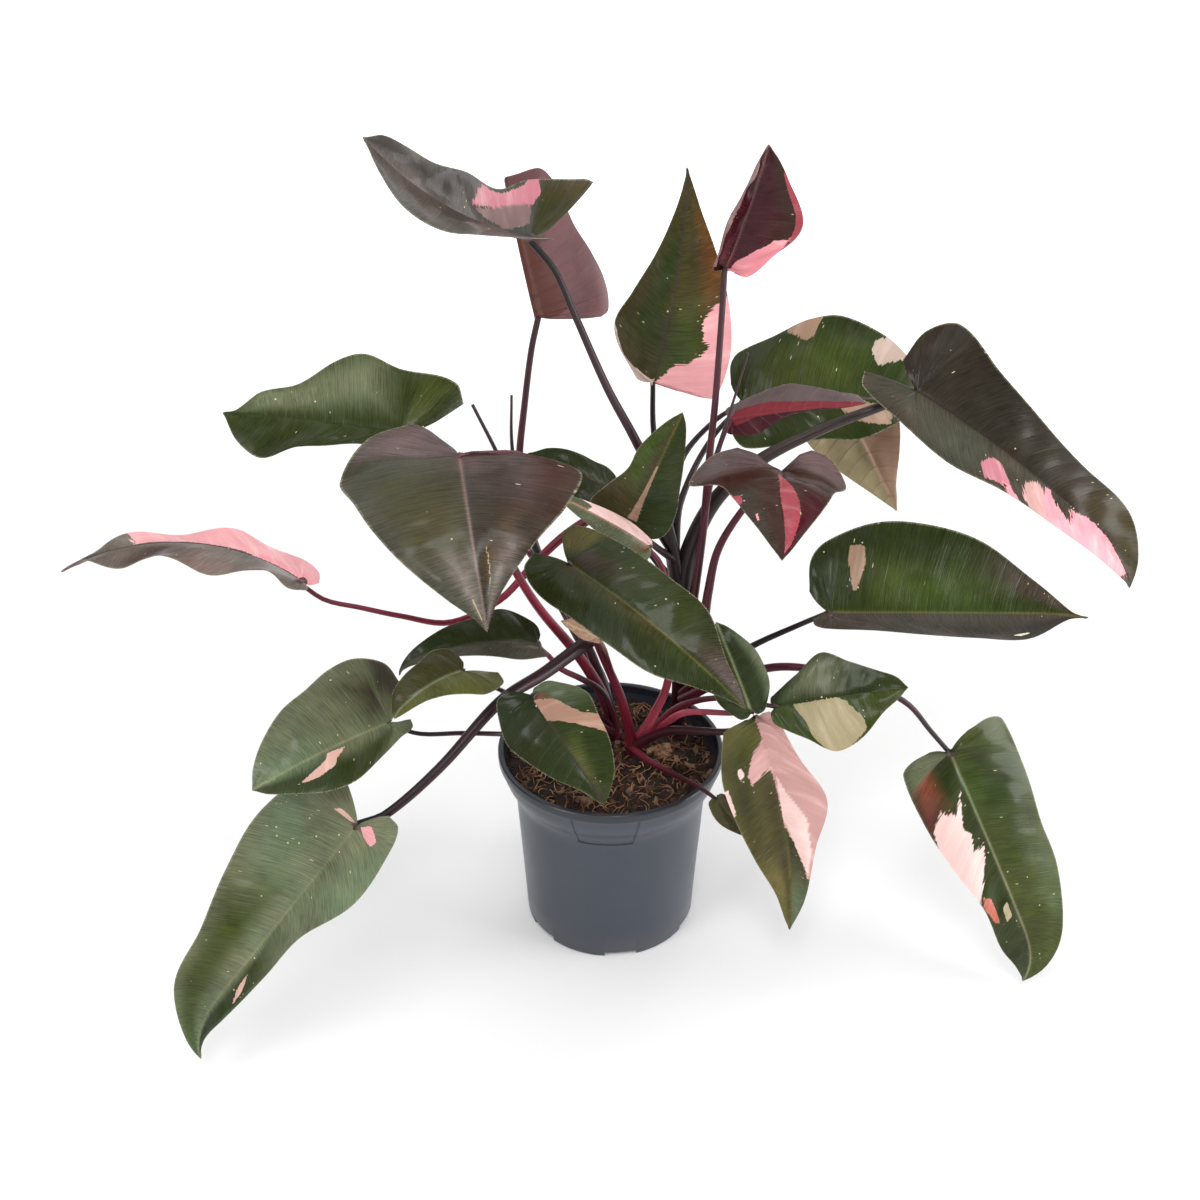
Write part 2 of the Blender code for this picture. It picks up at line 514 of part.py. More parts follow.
def add_stems(name, stem):
    """One stem with its foot in the soil and all its stalks, as one body."""
    x, y = stem["foot"]
    foot = [Vector((x, y, STEM_BOTTOM)), Vector((x, y, SOIL_TOP)), Vector((x, y, SOIL_TOP + 6))]
    body = add_object(name, stalk_mesh(name, stem["radius"], stem["radius"], foot), stem["finish"])
    others = []
    for leaf_name, root, end, places in stem["stalks"]:
        route = [Vector(place) for place in places]
        if leaf_name:
            route.append(stalk_end(LEAVES[leaf_name], end, places[-1]))
        others.append(add_object("stalk", stalk_mesh("stalk", root, end, route), stem["finish"]))
    fuse(body, others)
    return body


def pot_outside():
    """The pot's outer side from the foot up, as (radius, height)."""
    return [(FOOT_RADIUS - 1.5, 0.0), (FOOT_RADIUS - 0.4, 0.8), (FOOT_RADIUS, 3.0), (72.4, 108.0), (73.0, 117.0),
            (74.6, 123.0), (78.2, 129.5), (82.0, 138.0), (RIM_RADIUS - 1.6, POT_HEIGHT - LIP_HEIGHT),
            (RIM_RADIUS, POT_HEIGHT - LIP_HEIGHT + 0.6), (RIM_RADIUS, POT_HEIGHT - 0.9),
            (RIM_RADIUS - 0.9, POT_HEIGHT)]


def pot_inside():
    """The pot's inner side from the rim down, as (radius, height)."""
    floor = FOOT_RING + FLOOR_THICK
    return [(RIM_RADIUS - 3.4, POT_HEIGHT), (RIM_RADIUS - 4.2, POT_HEIGHT - 0.9), (80.0, 139.0), (75.8, 129.8),
            (72.3, 123.3), (70.7, 117.0), (70.1, 108.0), (FOOT_RADIUS - WALL, floor)]


def spun(bm, profile, segments):
    """Turn a profile of (radius, height) round the Z axis into a closed shell."""
    verts = [bm.verts.new((radius, 0, height)) for radius, height in profile]
    edges = [bm.edges.new(pair) for pair in zip(verts, verts[1:])]
    bmesh.ops.spin(bm, geom=verts + edges, cent=(0, 0, 0), axis=(0, 0, 1), angle=2 * pi, steps=segments)
    bmesh.ops.remove_doubles(bm, verts=bm.verts, dist=0.01)
    bmesh.ops.recalc_face_normals(bm, faces=bm.faces)


def radius_at(profile, height):
    """The radius of a rising profile at a height."""
    for (r0, z0), (r1, z1) in zip(profile, profile[1:]):
        if z0 <= height <= z1:
            return r0 + (r1 - r0) * (height - z0) / max(z1 - z0, 1e-6)
    return profile[-1][0]


def add_pot():
    """The pot: a turned wall and floor, cut by drain holes, notches in the foot and the blank panel."""
    bm = bmesh.new()
    under = [(0, 0), (PAD_RADIUS, 0), (PAD_RADIUS + 1, FOOT_RING), (FOOT_RADIUS - 6.5, FOOT_RING),
             (FOOT_RADIUS - 5.5, 0)]
    spun(bm, under + pot_outside() + pot_inside() + [(0, FOOT_RING + FLOOR_THICK)], SEGMENTS)
    pot = add_object("pot", mesh_from(bm, "pot", 30), "slate")
    for cutter in (drain_cutter(), notch_cutter(), panel_cutter()):
        cutter.hide_render = True
        cutter.display_type = "WIRE"
        cut = pot.modifiers.new(cutter.name, "BOOLEAN")
        cut.operation = "DIFFERENCE"
        cut.solver = "EXACT"
        cut.object = cutter
    return pot


def drain_cutter():
    bm = bmesh.new()
    for k in range(DRAIN_HOLES):
        angle = 2 * pi * (k + 0.5) / DRAIN_HOLES
        place = Matrix.Translation((DRAIN_CIRCLE * cos(angle), DRAIN_CIRCLE * sin(angle), FOOT_RING))
        bmesh.ops.create_cone(bm, cap_ends=True, segments=12, radius1=DRAIN_RADIUS, radius2=DRAIN_RADIUS,
                              depth=4 * FLOOR_THICK, matrix=place)
    return add_object("drain_cutter", mesh_from(bm, "drain_cutter"))


def notch_cutter():
    bm = bmesh.new()
    for k in range(NOTCHES):
        turn = Matrix.Rotation(radians(NOTCH_FIRST + 360 * k / NOTCHES), 4, "Z")
        size = Matrix.Diagonal((16, NOTCH_WIDTH, 2 * NOTCH_HEIGHT, 1))
        bmesh.ops.create_cube(bm, size=1.0, matrix=turn @ Matrix.Translation((FOOT_RADIUS - 2, 0, 0)) @ size)
    return add_object("notch_cutter", mesh_from(bm, "notch_cutter"))


def panel_cutter():
    """A bent wedge that follows the collar at the panel's depth, wider at the top than at the bottom."""
    rows, columns = 5, 8
    bm = bmesh.new()
    layers = []
    for row in range(rows + 1):
        height = PANEL_BOTTOM + (PANEL_TOP - PANEL_BOTTOM) * row / rows
        half = PANEL_HALF_BOTTOM + (PANEL_HALF_TOP - PANEL_HALF_BOTTOM) * row / rows
        inner = radius_at(pot_outside(), height) - PANEL_DEPTH
        layer = []
        for column in range(columns + 1):
            angle = radians(PANEL_CENTRE) + half / inner * (2 * column / columns - 1)
            layer.append([bm.verts.new((radius * cos(angle), radius * sin(angle), height))
                          for radius in (inner, RIM_RADIUS + 6)])
        layers.append(layer)
    for row in range(rows):
        for column in range(columns):
            for depth in (0, 1):
                bm.faces.new((layers[row][column][depth], layers[row][column + 1][depth],
                              layers[row + 1][column + 1][depth], layers[row + 1][column][depth]))
        for column in (0, columns):
            bm.faces.new((layers[row][column][0], layers[row + 1][column][0],
                          layers[row + 1][column][1], layers[row][column][1]))
    for row in (0, rows):
        for column in range(columns):
            bm.faces.new((layers[row][column][0], layers[row][column][1],
                          layers[row][column + 1][1], layers[row][column + 1][0]))
    bmesh.ops.recalc_face_normals(bm, faces=bm.faces)
    return add_object("panel_cutter", mesh_from(bm, "panel_cutter"))


def add_soil():
    """The soil fills the pot to just under the rim, its top a little uneven, with a hole for each stem."""
    bm = bmesh.new()
    bottom = FOOT_RING + FLOOR_THICK + GAP
    wall = [(radius - GAP - 0.1, height) for radius, height in reversed(pot_inside()) if height < SOIL_TOP]
    wall[0] = (wall[0][0], bottom)
    top = radius_at(pot_inside()[::-1], SOIL_TOP) - GAP - 0.1
    flat = [(top * (SOIL_RINGS - k) / SOIL_RINGS, SOIL_TOP) for k in range(SOIL_RINGS + 1)]
    spun(bm, [(0, bottom)] + wall + flat, SEGMENTS)
    for vert in bm.verts:
        across = sqrt(vert.co.x**2 + vert.co.y**2)
        if vert.co.z > SOIL_TOP - 0.01 and across < top - 1:
            bump = sin(0.19 * vert.co.x + 1) * cos(0.23 * vert.co.y) + 0.6 * sin(0.31 * (vert.co.x - vert.co.y))
            vert.co.z += SOIL_BUMP * bump
    soil = add_object("soil", mesh_from(bm, "soil", 60), "peat")
    bm = bmesh.new()
    for stem in STEMS.values():
        low, high = STEM_BOTTOM - GAP, SOIL_TOP + 10
        place = Matrix.Translation((*stem["foot"], (low + high) / 2))
        radius = stem["radius"] + HOLE_PLAY
        bmesh.ops.create_cone(bm, cap_ends=True, segments=16, radius1=radius, radius2=radius,
                              depth=high - low, matrix=place)
    cutter = add_object("stem_holes", mesh_from(bm, "stem_holes"))
    cutter.hide_render = True
    cutter.display_type = "WIRE"
    cut = soil.modifiers.new("stem_holes", "BOOLEAN")
    cut.operation = "DIFFERENCE"
    cut.solver = "EXACT"
    cut.object = cutter
    return soil


def build():
    clear_scene()
    for leaf in LEAVES.values():
        for key, value in PLAIN_LEAF.items():
            leaf.setdefault(key, value)
    add_pot()
    add_soil()
    for name, stem in STEMS.items():
        add_stems(name, stem)
    for name, leaf in LEAVES.items():
        add_blade(name, leaf)


build()
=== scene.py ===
"""Pink princess philodendron in its nursery pot: the finished look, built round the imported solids.

The frame is in metres with +Z up. The pieces below are laid out in millimetres and scaled as they are made.
"""

import json
import random
from math import cos, exp, pi, radians, sin, sqrt

import bmesh
import bpy
from mathutils import Euler, Matrix, Vector, noise

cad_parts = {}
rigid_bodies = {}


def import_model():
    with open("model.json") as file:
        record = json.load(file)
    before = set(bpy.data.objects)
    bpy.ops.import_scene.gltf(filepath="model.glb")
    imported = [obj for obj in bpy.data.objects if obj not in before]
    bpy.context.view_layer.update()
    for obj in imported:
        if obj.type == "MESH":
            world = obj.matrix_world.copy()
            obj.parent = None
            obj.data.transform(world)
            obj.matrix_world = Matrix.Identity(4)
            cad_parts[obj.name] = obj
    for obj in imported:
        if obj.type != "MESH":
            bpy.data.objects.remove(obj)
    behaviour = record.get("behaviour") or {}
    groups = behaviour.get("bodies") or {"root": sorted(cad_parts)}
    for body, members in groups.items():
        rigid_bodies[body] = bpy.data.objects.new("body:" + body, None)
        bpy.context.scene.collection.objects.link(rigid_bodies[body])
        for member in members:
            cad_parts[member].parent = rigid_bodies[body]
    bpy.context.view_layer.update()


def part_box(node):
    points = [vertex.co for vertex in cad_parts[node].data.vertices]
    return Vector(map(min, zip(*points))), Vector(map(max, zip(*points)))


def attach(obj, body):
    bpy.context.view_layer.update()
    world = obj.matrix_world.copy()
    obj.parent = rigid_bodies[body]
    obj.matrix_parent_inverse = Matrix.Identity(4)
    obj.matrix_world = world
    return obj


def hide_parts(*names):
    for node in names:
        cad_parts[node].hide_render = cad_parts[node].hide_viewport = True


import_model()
MM = 0.001


# Camera and studio.
# The plant stands on a white sheet that glows to pure white away from the pot. A large soft box hangs over
# it, with a key from the left, a small high lamp in front, and low fills from the right and from behind.
CAMERA_PLACE = (-0.008, -0.8599, 0.7935)
CAMERA_TILT = 59.3                 # degrees up from straight down
CAMERA_LENS, CAMERA_SENSOR = 42.0, 36
LAMPS = (                          # name, place, target, side of its square, watts
    ("overhead", (-0.4, 0.5, 2.2), (0, 0, 0.25), 2.6, 26),
    ("left_key", (-1.7, -1.5, 1.7), (0, 0, 0.3), 1.0, 22),
    ("high_lamp", (-0.1, -1.6, 2.3), (0, 0, 0.3), 0.80, 18),
    ("right_fill", (1.9, -0.4, 0.7), (0, 0, 0.15), 1.1, 30),
    ("back_fill", (0.8, 2.2, 0.9), (0, 0, 0.25), 1.2, 7),
)
WORLD_LIGHT = 0.28
FLOOR_SIZE, FLOOR_LEVEL = 30, -0.0002
SHEET_TONES = (0.84, 0.84, 0.84), (0.88, 0.88, 0.88)
GLOW_TONES = (0.13, 0.13, 0.13), (0.95, 0.95, 0.95)
GLOW_FROM, GLOW_TO = 0.6, 2.2      # metres from the pot over which the floor's glow rises


def add_object(name, data):
    """A new object in the scene."""
    made = bpy.data.objects.new(name, data)
    bpy.context.scene.collection.objects.link(made)
    return made


def aim_camera():
    camera = add_object("camera", bpy.data.cameras.new("camera"))
    camera.location = CAMERA_PLACE
    camera.rotation_euler = (radians(CAMERA_TILT), 0, 0)
    camera.data.sensor_width = CAMERA_SENSOR
    camera.data.lens = CAMERA_LENS
    camera.data.clip_end = 50
    bpy.context.scene.camera = camera
    bpy.context.scene.view_settings.view_transform = "Standard"


def soft_box(name, place, target, size, watts):
    """A square studio lamp at a place, turned to a target."""
    bpy.ops.object.light_add(type="AREA", location=place)
    lamp = bpy.context.object
    lamp.name = name
    lamp.rotation_euler = (Vector(target) - Vector(place)).to_track_quat("-Z", "Y").to_euler()
    lamp.data.size = size
    lamp.data.energy = watts


class Socket:
    """An output of a material's node, so that a pattern can be written as sums of sockets and numbers."""

    def __init__(self, tree, output):
        self.tree = tree
        self.output = output

    def node(self, kind, settings=None, values=None, output=0):
        """Any node: its settings are set first, then its inputs get numbers or links."""
        made = self.tree.nodes.new("ShaderNode" + kind)
        for name, setting in (settings or {}).items():
            setattr(made, name, setting)
        for name, value in (values or {}).items():
            if isinstance(value, Socket):
                self.tree.links.new(value.output, made.inputs[name])
            else:
                made.inputs[name].default_value = value
        return Socket(self.tree, made.outputs[output])

    def math(self, operation, *values):
        return self.node("Math", {"operation": operation}, dict(enumerate(values)))

    def __add__(self, other):
        return self.math("ADD", self, other)

    def __radd__(self, other):
        return self.math("ADD", other, self)

    def __sub__(self, other):
        return self.math("SUBTRACT", self, other)

    def __rsub__(self, other):
        return self.math("SUBTRACT", other, self)

    def __mul__(self, other):
        return self.math("MULTIPLY", self, other)

    def __rmul__(self, other):
        return self.math("MULTIPLY", other, self)

    def rise(self, low, high):
        """0 below low, 1 above high and smooth in between; high may be the lower number."""
        return self.node("MapRange", {"interpolation_type": "SMOOTHSTEP"},
                         {"Value": self, "From Min": low, "From Max": high})

    def mix(self, first, second):
        """The first colour where this is 0 and the second where it is 1."""
        first, second = (end if isinstance(end, Socket) else (*end, 1.0) for end in (first, second))
        return self.node("Mix", {"data_type": "RGBA"}, {0: self, 6: first, 7: second}, 2)

    def times(self, factor):
        """This colour made lighter or darker."""
        return self.node("VectorMath", {"operation": "SCALE"}, {0: self, "Scale": factor})

    def axis(self, number):
        """One of these coordinates, or one channel of this colour."""
        return self.node("SeparateXYZ", {}, {0: self}, number)

    def stored(self, name, output=0):
        """A colour stored on the mesh, or its fourth number with output 3."""
        return self.node("Attribute", {"attribute_name": name}, output=output)

    def scaled(self, across, along, up):
        """These coordinates stretched on each axis."""
        return self.node("Mapping", {}, {"Vector": self, "Scale": (across, along, up)})

    def grain(self, scale, detail=2.0, rough=0.5):
        """Soft noise from 0 to 1."""
        values = {"Vector": self, "Scale": scale, "Detail": detail, "Roughness": rough}
        return self.node("TexNoise", {}, values)

    def spots(self, scale, output="Distance"):
        """Scattered cells: the distance to the nearest one's middle, or its own random colour."""
        return self.node("TexVoronoi", {}, {"Vector": self, "Scale": scale}, output)

    def bump(self, depth, strength=1.0):
        """A relief of this height, in metres at full strength."""
        return self.node("Bump", {}, {"Height": self, "Distance": depth, "Strength": strength})


def new_finish(name, **constants):
    """A Principled material. Returns it with its shader and its Object and UV coordinates."""
    material = bpy.data.materials.new(name)
    material.use_nodes = True
    tree = material.node_tree
    shader = tree.nodes["Principled BSDF"]
    for words, value in constants.items():
        shader.inputs[words.replace("_", " ")].default_value = value
    coordinates = tree.nodes.new("ShaderNodeTexCoord").outputs
    return material, shader, Socket(tree, coordinates["Object"]), Socket(tree, coordinates["UV"])


def feed(shader, **links):
    """Link sockets to the shader's inputs."""
    for words, socket in links.items():
        socket.tree.links.new(socket.output, shader.inputs[words.replace("_", " ")])


def lay_floor():
    bpy.ops.mesh.primitive_plane_add(size=FLOOR_SIZE, location=(0, 0, FLOOR_LEVEL))
    floor = bpy.context.object
    floor.name = "floor"
    material, shader, place, _ = new_finish("white_sheet", Roughness=0.6, Emission_Strength=1.0)
    far = place.node("VectorMath", {"operation": "LENGTH"}, {0: place}, 1).rise(GLOW_FROM, GLOW_TO)
    feed(shader, Base_Color=place.grain(3.0).mix(*SHEET_TONES), Emission_Color=far.mix(*GLOW_TONES))
    floor.data.materials.append(material)


bpy.ops.object.select_all(action="DESELECT")
aim_camera()
lay_floor()
for lamp in LAMPS:
    soft_box(*lamp)
world = bpy.data.worlds.new("studio")
world.use_nodes = True
sky = world.node_tree.nodes["Background"].inputs
sky["Color"].default_value = (1, 1, 1, 1)
sky["Strength"].default_value = WORLD_LIGHT
bpy.context.scene.world = world


# The nursery pot.
# One thin shell of injection-moulded blue-grey plastic with a satin face: a straight tapering wall, a collar
# that flares to a lipped rim, a blank recessed panel in the collar, and drain holes and notches in the foot.
POT_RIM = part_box("pot")[1].x / MM
POT_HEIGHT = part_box("pot")[1].z / MM
POT_FOOT = 66.5
POT_SIDES = 120
POT_WALL = 2.3
LIP = 7.0                          # height of the lip's outer band
FOOT_RING = 5.5
POT_FLOOR = FOOT_RING + 2.0
PAD = 14.0                         # radius of the flat middle pad under the floor
DRAIN_HOLES, DRAIN_RADIUS, DRAIN_CIRCLE = 6, 5.0, 38.0
NOTCHES, NOTCH_WIDTH, NOTCH_HEIGHT, NOTCH_FIRST = 6, 25.0, 4.6, -83.0
PANEL_CENTRE, PANEL_DEPTH, PANEL_CUTTER = -93.0, 0.8, 6
PANEL_TOP, PANEL_BOTTOM = 146.5, 118.0
PANEL_HALF_TOP, PANEL_HALF_BOTTOM = 25.0, 20.0
POT_COLLAR = ((72.4, 108.0), (72.6, 112.0), (73.0, 117.0), (73.7, 120.5), (74.9, 124.0), (76.6, 127.2),
              (78.5, 130.2), (80.4, 134.0), (82.0, 138.5), (83.1, 143.5), (POT_RIM - 1.6, POT_HEIGHT - LIP))
POT_INSIDE = ((POT_RIM - 3.4, POT_HEIGHT), (POT_RIM - 4.2, POT_HEIGHT - 0.9), (80.0, 139.0), (77.9, 134.2),
              (75.8, 129.8), (74.0, 126.4), (72.3, 123.3), (71.2, 120.0), (70.7, 117.0), (70.1, 108.0),
              (POT_FOOT - POT_WALL, POT_FLOOR))
POT_SOFTENING = 0.25               # width of the rounding on every sharp edge
POT_TONES = (0.028, 0.037, 0.055), (0.040, 0.050, 0.072)
# The lip's upright outer band is painted darker: painted shade.
LIP_SHADE, LIP_SHADE_FROM, LIP_SHADE_TO = (0.013, 0.017, 0.026), 0.1475, 0.1485
DUST_TONE = (0.080, 0.076, 0.072)


def pick(*pieces):
    """Select these pieces alone, with the first one active."""
    bpy.ops.object.select_all(action="DESELECT")
    for piece in pieces:
        piece.select_set(True)
    bpy.context.view_layer.objects.active = pieces[0]


def shade(piece, degrees):
    """Smooth faces, with the edges kept that turn by more than an angle."""
    pick(piece)
    bpy.ops.object.shade_smooth_by_angle(angle=radians(degrees))


def apply_all(piece):
    """Apply a piece's modifiers from the top down."""
    pick(piece)
    for modifier in list(piece.modifiers):
        bpy.ops.object.modifier_apply(modifier=modifier.name)


def turned(name, profile, sides):
    """Raise a shell ring by ring from (radius, height) pairs, and close its first and last ring."""
    radius, height = profile[0]
    bpy.ops.mesh.primitive_circle_add(vertices=sides, radius=radius * MM, location=(0, 0, height * MM))
    piece = bpy.context.object
    piece.name = name
    bpy.ops.object.transform_apply(location=True, rotation=True, scale=True)
    bpy.ops.object.mode_set(mode="EDIT")
    bpy.ops.mesh.select_all(action="SELECT")
    for (r0, z0), (r1, z1) in zip(profile, profile[1:]):
        bpy.ops.mesh.extrude_edges_move(TRANSFORM_OT_translate={"value": (0, 0, (z1 - z0) * MM)})
        bpy.ops.transform.resize(value=(r1 / r0, r1 / r0, 1), center_override=(0, 0, z1 * MM))
    bpy.ops.mesh.select_all(action="SELECT")
    bpy.ops.mesh.fill_holes(sides=0)
    bpy.ops.mesh.normals_make_consistent(inside=False)
    bpy.ops.object.mode_set(mode="OBJECT")
    return piece


def collar_radius(height):
    """The radius of the collar's outer face at a height."""
    for (r0, z0), (r1, z1) in zip(POT_COLLAR, POT_COLLAR[1:]):
        if z0 <= height <= z1:
            return r0 + (r1 - r0) * (height - z0) / (z1 - z0)
    return POT_RIM


def panel_cutter():
    """A bent wedge that follows the collar at the panel's depth, wider at the top than at the bottom."""
    rows, columns = 12, 14
    bpy.ops.mesh.primitive_grid_add(x_subdivisions=columns, y_subdivisions=rows, size=1)
    cutter = bpy.context.object
    for vert in cutter.data.vertices:
        across, up = 2 * vert.co.x, vert.co.y + 0.5
        height = PANEL_BOTTOM + (PANEL_TOP - PANEL_BOTTOM) * up
        half = PANEL_HALF_BOTTOM + (PANEL_HALF_TOP - PANEL_HALF_BOTTOM) * up
        radius = collar_radius(height) - PANEL_DEPTH
        angle = radians(PANEL_CENTRE) + across * half / radius
        vert.co = Vector((radius * cos(angle), radius * sin(angle), height)) * MM
    depth = cutter.modifiers.new("depth", "SOLIDIFY")
    depth.thickness = PANEL_CUTTER * MM
    depth.offset = 1.0
    apply_all(cutter)
    return cutter


def add_pot():
    under = [(PAD, 0), (PAD + 1, FOOT_RING), (POT_FOOT - 6.5, FOOT_RING), (POT_FOOT - 5.5, 0)]
    foot = [(POT_FOOT - 1.5, 0), (POT_FOOT - 0.4, 0.8), (POT_FOOT, 3.0), (67.6, 25.0), (69.1, 52.0),
            (70.8, 80.0)]
    rim = [(POT_RIM, POT_HEIGHT - LIP + 0.6), (POT_RIM, POT_HEIGHT - 0.9), (POT_RIM - 0.9, POT_HEIGHT)]
    pot = turned("pot_shell", under + foot + list(POT_COLLAR) + rim + list(POT_INSIDE), POT_SIDES)
    cutters = [panel_cutter()]
    for k in range(DRAIN_HOLES):
        angle = 2 * pi * (k + 0.5) / DRAIN_HOLES
        bpy.ops.mesh.primitive_cylinder_add(
            vertices=32, radius=DRAIN_RADIUS * MM, depth=12 * MM,
            location=(DRAIN_CIRCLE * cos(angle) * MM, DRAIN_CIRCLE * sin(angle) * MM, FOOT_RING * MM))
        cutters.append(bpy.context.object)
    for k in range(NOTCHES):
        angle = radians(NOTCH_FIRST + 360 * k / NOTCHES)
        bpy.ops.mesh.primitive_cube_add(
            size=1, rotation=(0, 0, angle), scale=(16 * MM, NOTCH_WIDTH * MM, 2 * NOTCH_HEIGHT * MM),
            location=((POT_FOOT - 2) * cos(angle) * MM, (POT_FOOT - 2) * sin(angle) * MM, 0))
        cutters.append(bpy.context.object)
    for cutter in cutters:
        cut = pot.modifiers.new("cut", "BOOLEAN")
        cut.operation = "DIFFERENCE"
        cut.solver = "EXACT"
        cut.object = cutter
    soften = pot.modifiers.new("soften", "BEVEL")
    soften.width = POT_SOFTENING * MM
    soften.segments = 2
    soften.limit_method = "ANGLE"
    soften.angle_limit = radians(35)
    apply_all(pot)
    for cutter in cutters:
        bpy.data.objects.remove(cutter)
    shade(pot, 32)
    return pot


def pot_plastic():
    """Satin blue-grey plastic: fine moulding haze, faint flow lines round the wall, dust round the foot, and
    painted shade on the lip's outer band.
    """
    material, shader, place, _ = new_finish("pot_plastic", Specular_IOR_Level=0.55)
    height = place.axis(2)
    haze = place.grain(45, 4.0)
    rings = place.scaled(1, 1, 60).grain(6, 3.0)
    scuffs = place.scaled(1, 1, 0.15).grain(260, 2.0).rise(0.62, 0.78)
    # Above the lip's lower edge the plastic is painted darker: painted shade on the upright band.
    tone = height.rise(LIP_SHADE_FROM, LIP_SHADE_TO).mix(haze.mix(*POT_TONES), LIP_SHADE)
    dusty = scuffs * 0.25 + height.rise(0.035, 0.0) * haze * 0.5
    feed(shader,
         Base_Color=dusty.mix(tone, DUST_TONE),
         Roughness=0.26 + haze * 0.14 + scuffs * 0.12,
         Normal=(rings * 0.5 + place.grain(900, 2.0)).bump(0.00012, 0.35))
    return material


pot_shell = add_pot()
pot_shell.data.materials.append(pot_plastic())
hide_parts("pot")
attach(pot_shell, "root")


# The potting soil.
# Peat and coir, almost black where it is damp, crumbled by hand to just under the rim. Its top is lumpy, with
# curled coir fibres, flat husk chips, loose crumbs and one bigger lump of husk lying on it.
SOIL_TOP = 142.5
SOIL_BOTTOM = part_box("soil")[0].z / MM
SOIL_GAP = 0.4                     # between the soil and the pot's wall
SOIL_EDGE = 80.5                   # the wall's inner radius at the soil's top
SOIL_SIDES, SOIL_RINGS = 150, 46
STEM_FEET = {"stems_main": (50, 34, 7.5), "stems_front": (17, 6, 5.5), "stems_left": (3, 27, 6.0)}
CRUMBS, FIBRES, CHIPS = 620, 400, 80
LITTER_REACH, FIBRE_REACH = 79.0, 77
FIBRE_RADIUS, FIBRE_STEP = 0.36, 1.5
HUSK = (38, 6)
HUSK_HALF = (10.5, 6.0, 4.5)
HUSK_LIFT, HUSK_TURN = 1.5, (0.1, -0.1, 0.3)
draw = random.Random(7)


def soil_height(x, y):
    """The height of the soil's top at a place."""
    lump = noise.fractal(Vector((x, y, 3.0)) * 0.055, 1.0, 2.0, 2)
    crumb = noise.voronoi(Vector((x, y, 0.0)) * 0.21)[0][0]
    fine = noise.noise(Vector((x, y, 9.0)) * 0.55)
    return SOIL_TOP + 1.6 * lump - 2.2 * crumb + 0.7 * fine + 0.6


def add_soil():
    wall = [(radius - SOIL_GAP, z) for radius, z in reversed(POT_INSIDE) if z < SOIL_TOP - 3]
    wall[0] = (wall[0][0], SOIL_BOTTOM)
    edge = SOIL_EDGE - SOIL_GAP
    top = [(edge * (SOIL_RINGS - k) / SOIL_RINGS, SOIL_TOP) for k in range(SOIL_RINGS)]
    soil = turned("soil_top", wall + top, SOIL_SIDES)
    for vert in soil.data.vertices:
        x, y, z = vert.co / MM
        if z > SOIL_TOP - 0.1:
            vert.co.z = soil_height(x, y) * MM
    shade(soil, 70)
    return soil


def soil_spot(margin=2.0):
    """A random place on the soil that is clear of the wall and of the stems."""
    while True:
        angle, reach = draw.uniform(0, 2 * pi), (LITTER_REACH - margin) * sqrt(draw.random())
        x, y = reach * cos(angle), reach * sin(angle)
        if all((x - a)**2 + (y - b)**2 > (r + margin)**2 for a, b, r in STEM_FEET.values()):
            return x, y


def strewn(name, model, count, least, most, sink):
    """Copies of a model, each with its own mesh, turned at random on the soil and joined as one piece."""
    copies = []
    for _ in range(count):
        x, y = soil_spot()
        size = least * (most / least)**(draw.random()**2)
        turn = Euler([draw.uniform(-0.6, 0.6), draw.uniform(-0.6, 0.6), draw.uniform(0, 2 * pi)])
        stretch = Matrix.Diagonal((size * draw.uniform(0.7, 1.4), size, size * draw.uniform(0.6, 1.1), 1.0))
        place = Matrix.Translation(Vector((x, y, soil_height(x, y) + size * sink)) * MM)
        copies.append(add_object(name, model.data.copy()))
        copies[-1].data.transform(place @ turn.to_matrix().to_4x4() @ stretch)
    bpy.data.objects.remove(model)
    pick(*copies)
    bpy.ops.object.join()
    copies[0].name = name
    return copies[0]


def add_crumbs():
    bpy.ops.mesh.primitive_ico_sphere_add(subdivisions=2, radius=MM)
    model = bpy.context.object
    for vert in model.data.vertices:
        vert.co *= 1 + 0.55 * noise.noise(vert.co / MM * 1.3 + Vector((4, 1, 7)))
    return strewn("soil_crumbs", model, CRUMBS, 0.8, 3.2, 0.15)


def add_chips():
    bpy.ops.mesh.primitive_cube_add(size=2 * MM)
    model = bpy.context.object
    bpy.ops.object.mode_set(mode="EDIT")
    bpy.ops.mesh.select_all(action="SELECT")
    bpy.ops.transform.resize(value=(1.7, 0.75, 0.28))
    bpy.ops.mesh.subdivide(number_cuts=2)
    bpy.ops.object.mode_set(mode="OBJECT")
    for vert in model.data.vertices:
        wobble = noise.noise_vector(vert.co / MM * 0.9)
        vert.co += Vector((0.35 * wobble.x, 0.3 * wobble.y, 0.25 * wobble.z)) * MM
        vert.co.z += 0.12 * (vert.co.x / MM)**2 * MM
    return strewn("soil_chips", model, CHIPS, 1.2, 3.4, 0.3)


def add_husk():
    """One bigger lump of matted husk, half sunk in the soil between the stems."""
    bpy.ops.mesh.primitive_ico_sphere_add(subdivisions=5, radius=MM)
    husk = bpy.context.object
    husk.name = "soil_husk"
    for vert in husk.data.vertices:
        way = vert.co / MM
        strands = noise.noise(Vector((way.x * 1.2, way.y * 7.0, way.z * 7.0)))
        lump = noise.noise(way * 1.5 + Vector((3, 8, 1)))
        vert.co = way * Vector(HUSK_HALF)
        vert.co *= (1 + 0.45 * lump + 0.20 * strands) * MM
    place = Matrix.Translation(Vector((*HUSK, soil_height(*HUSK) + HUSK_LIFT)) * MM)
    husk.data.transform(place @ Euler(HUSK_TURN).to_matrix().to_4x4())
    return husk


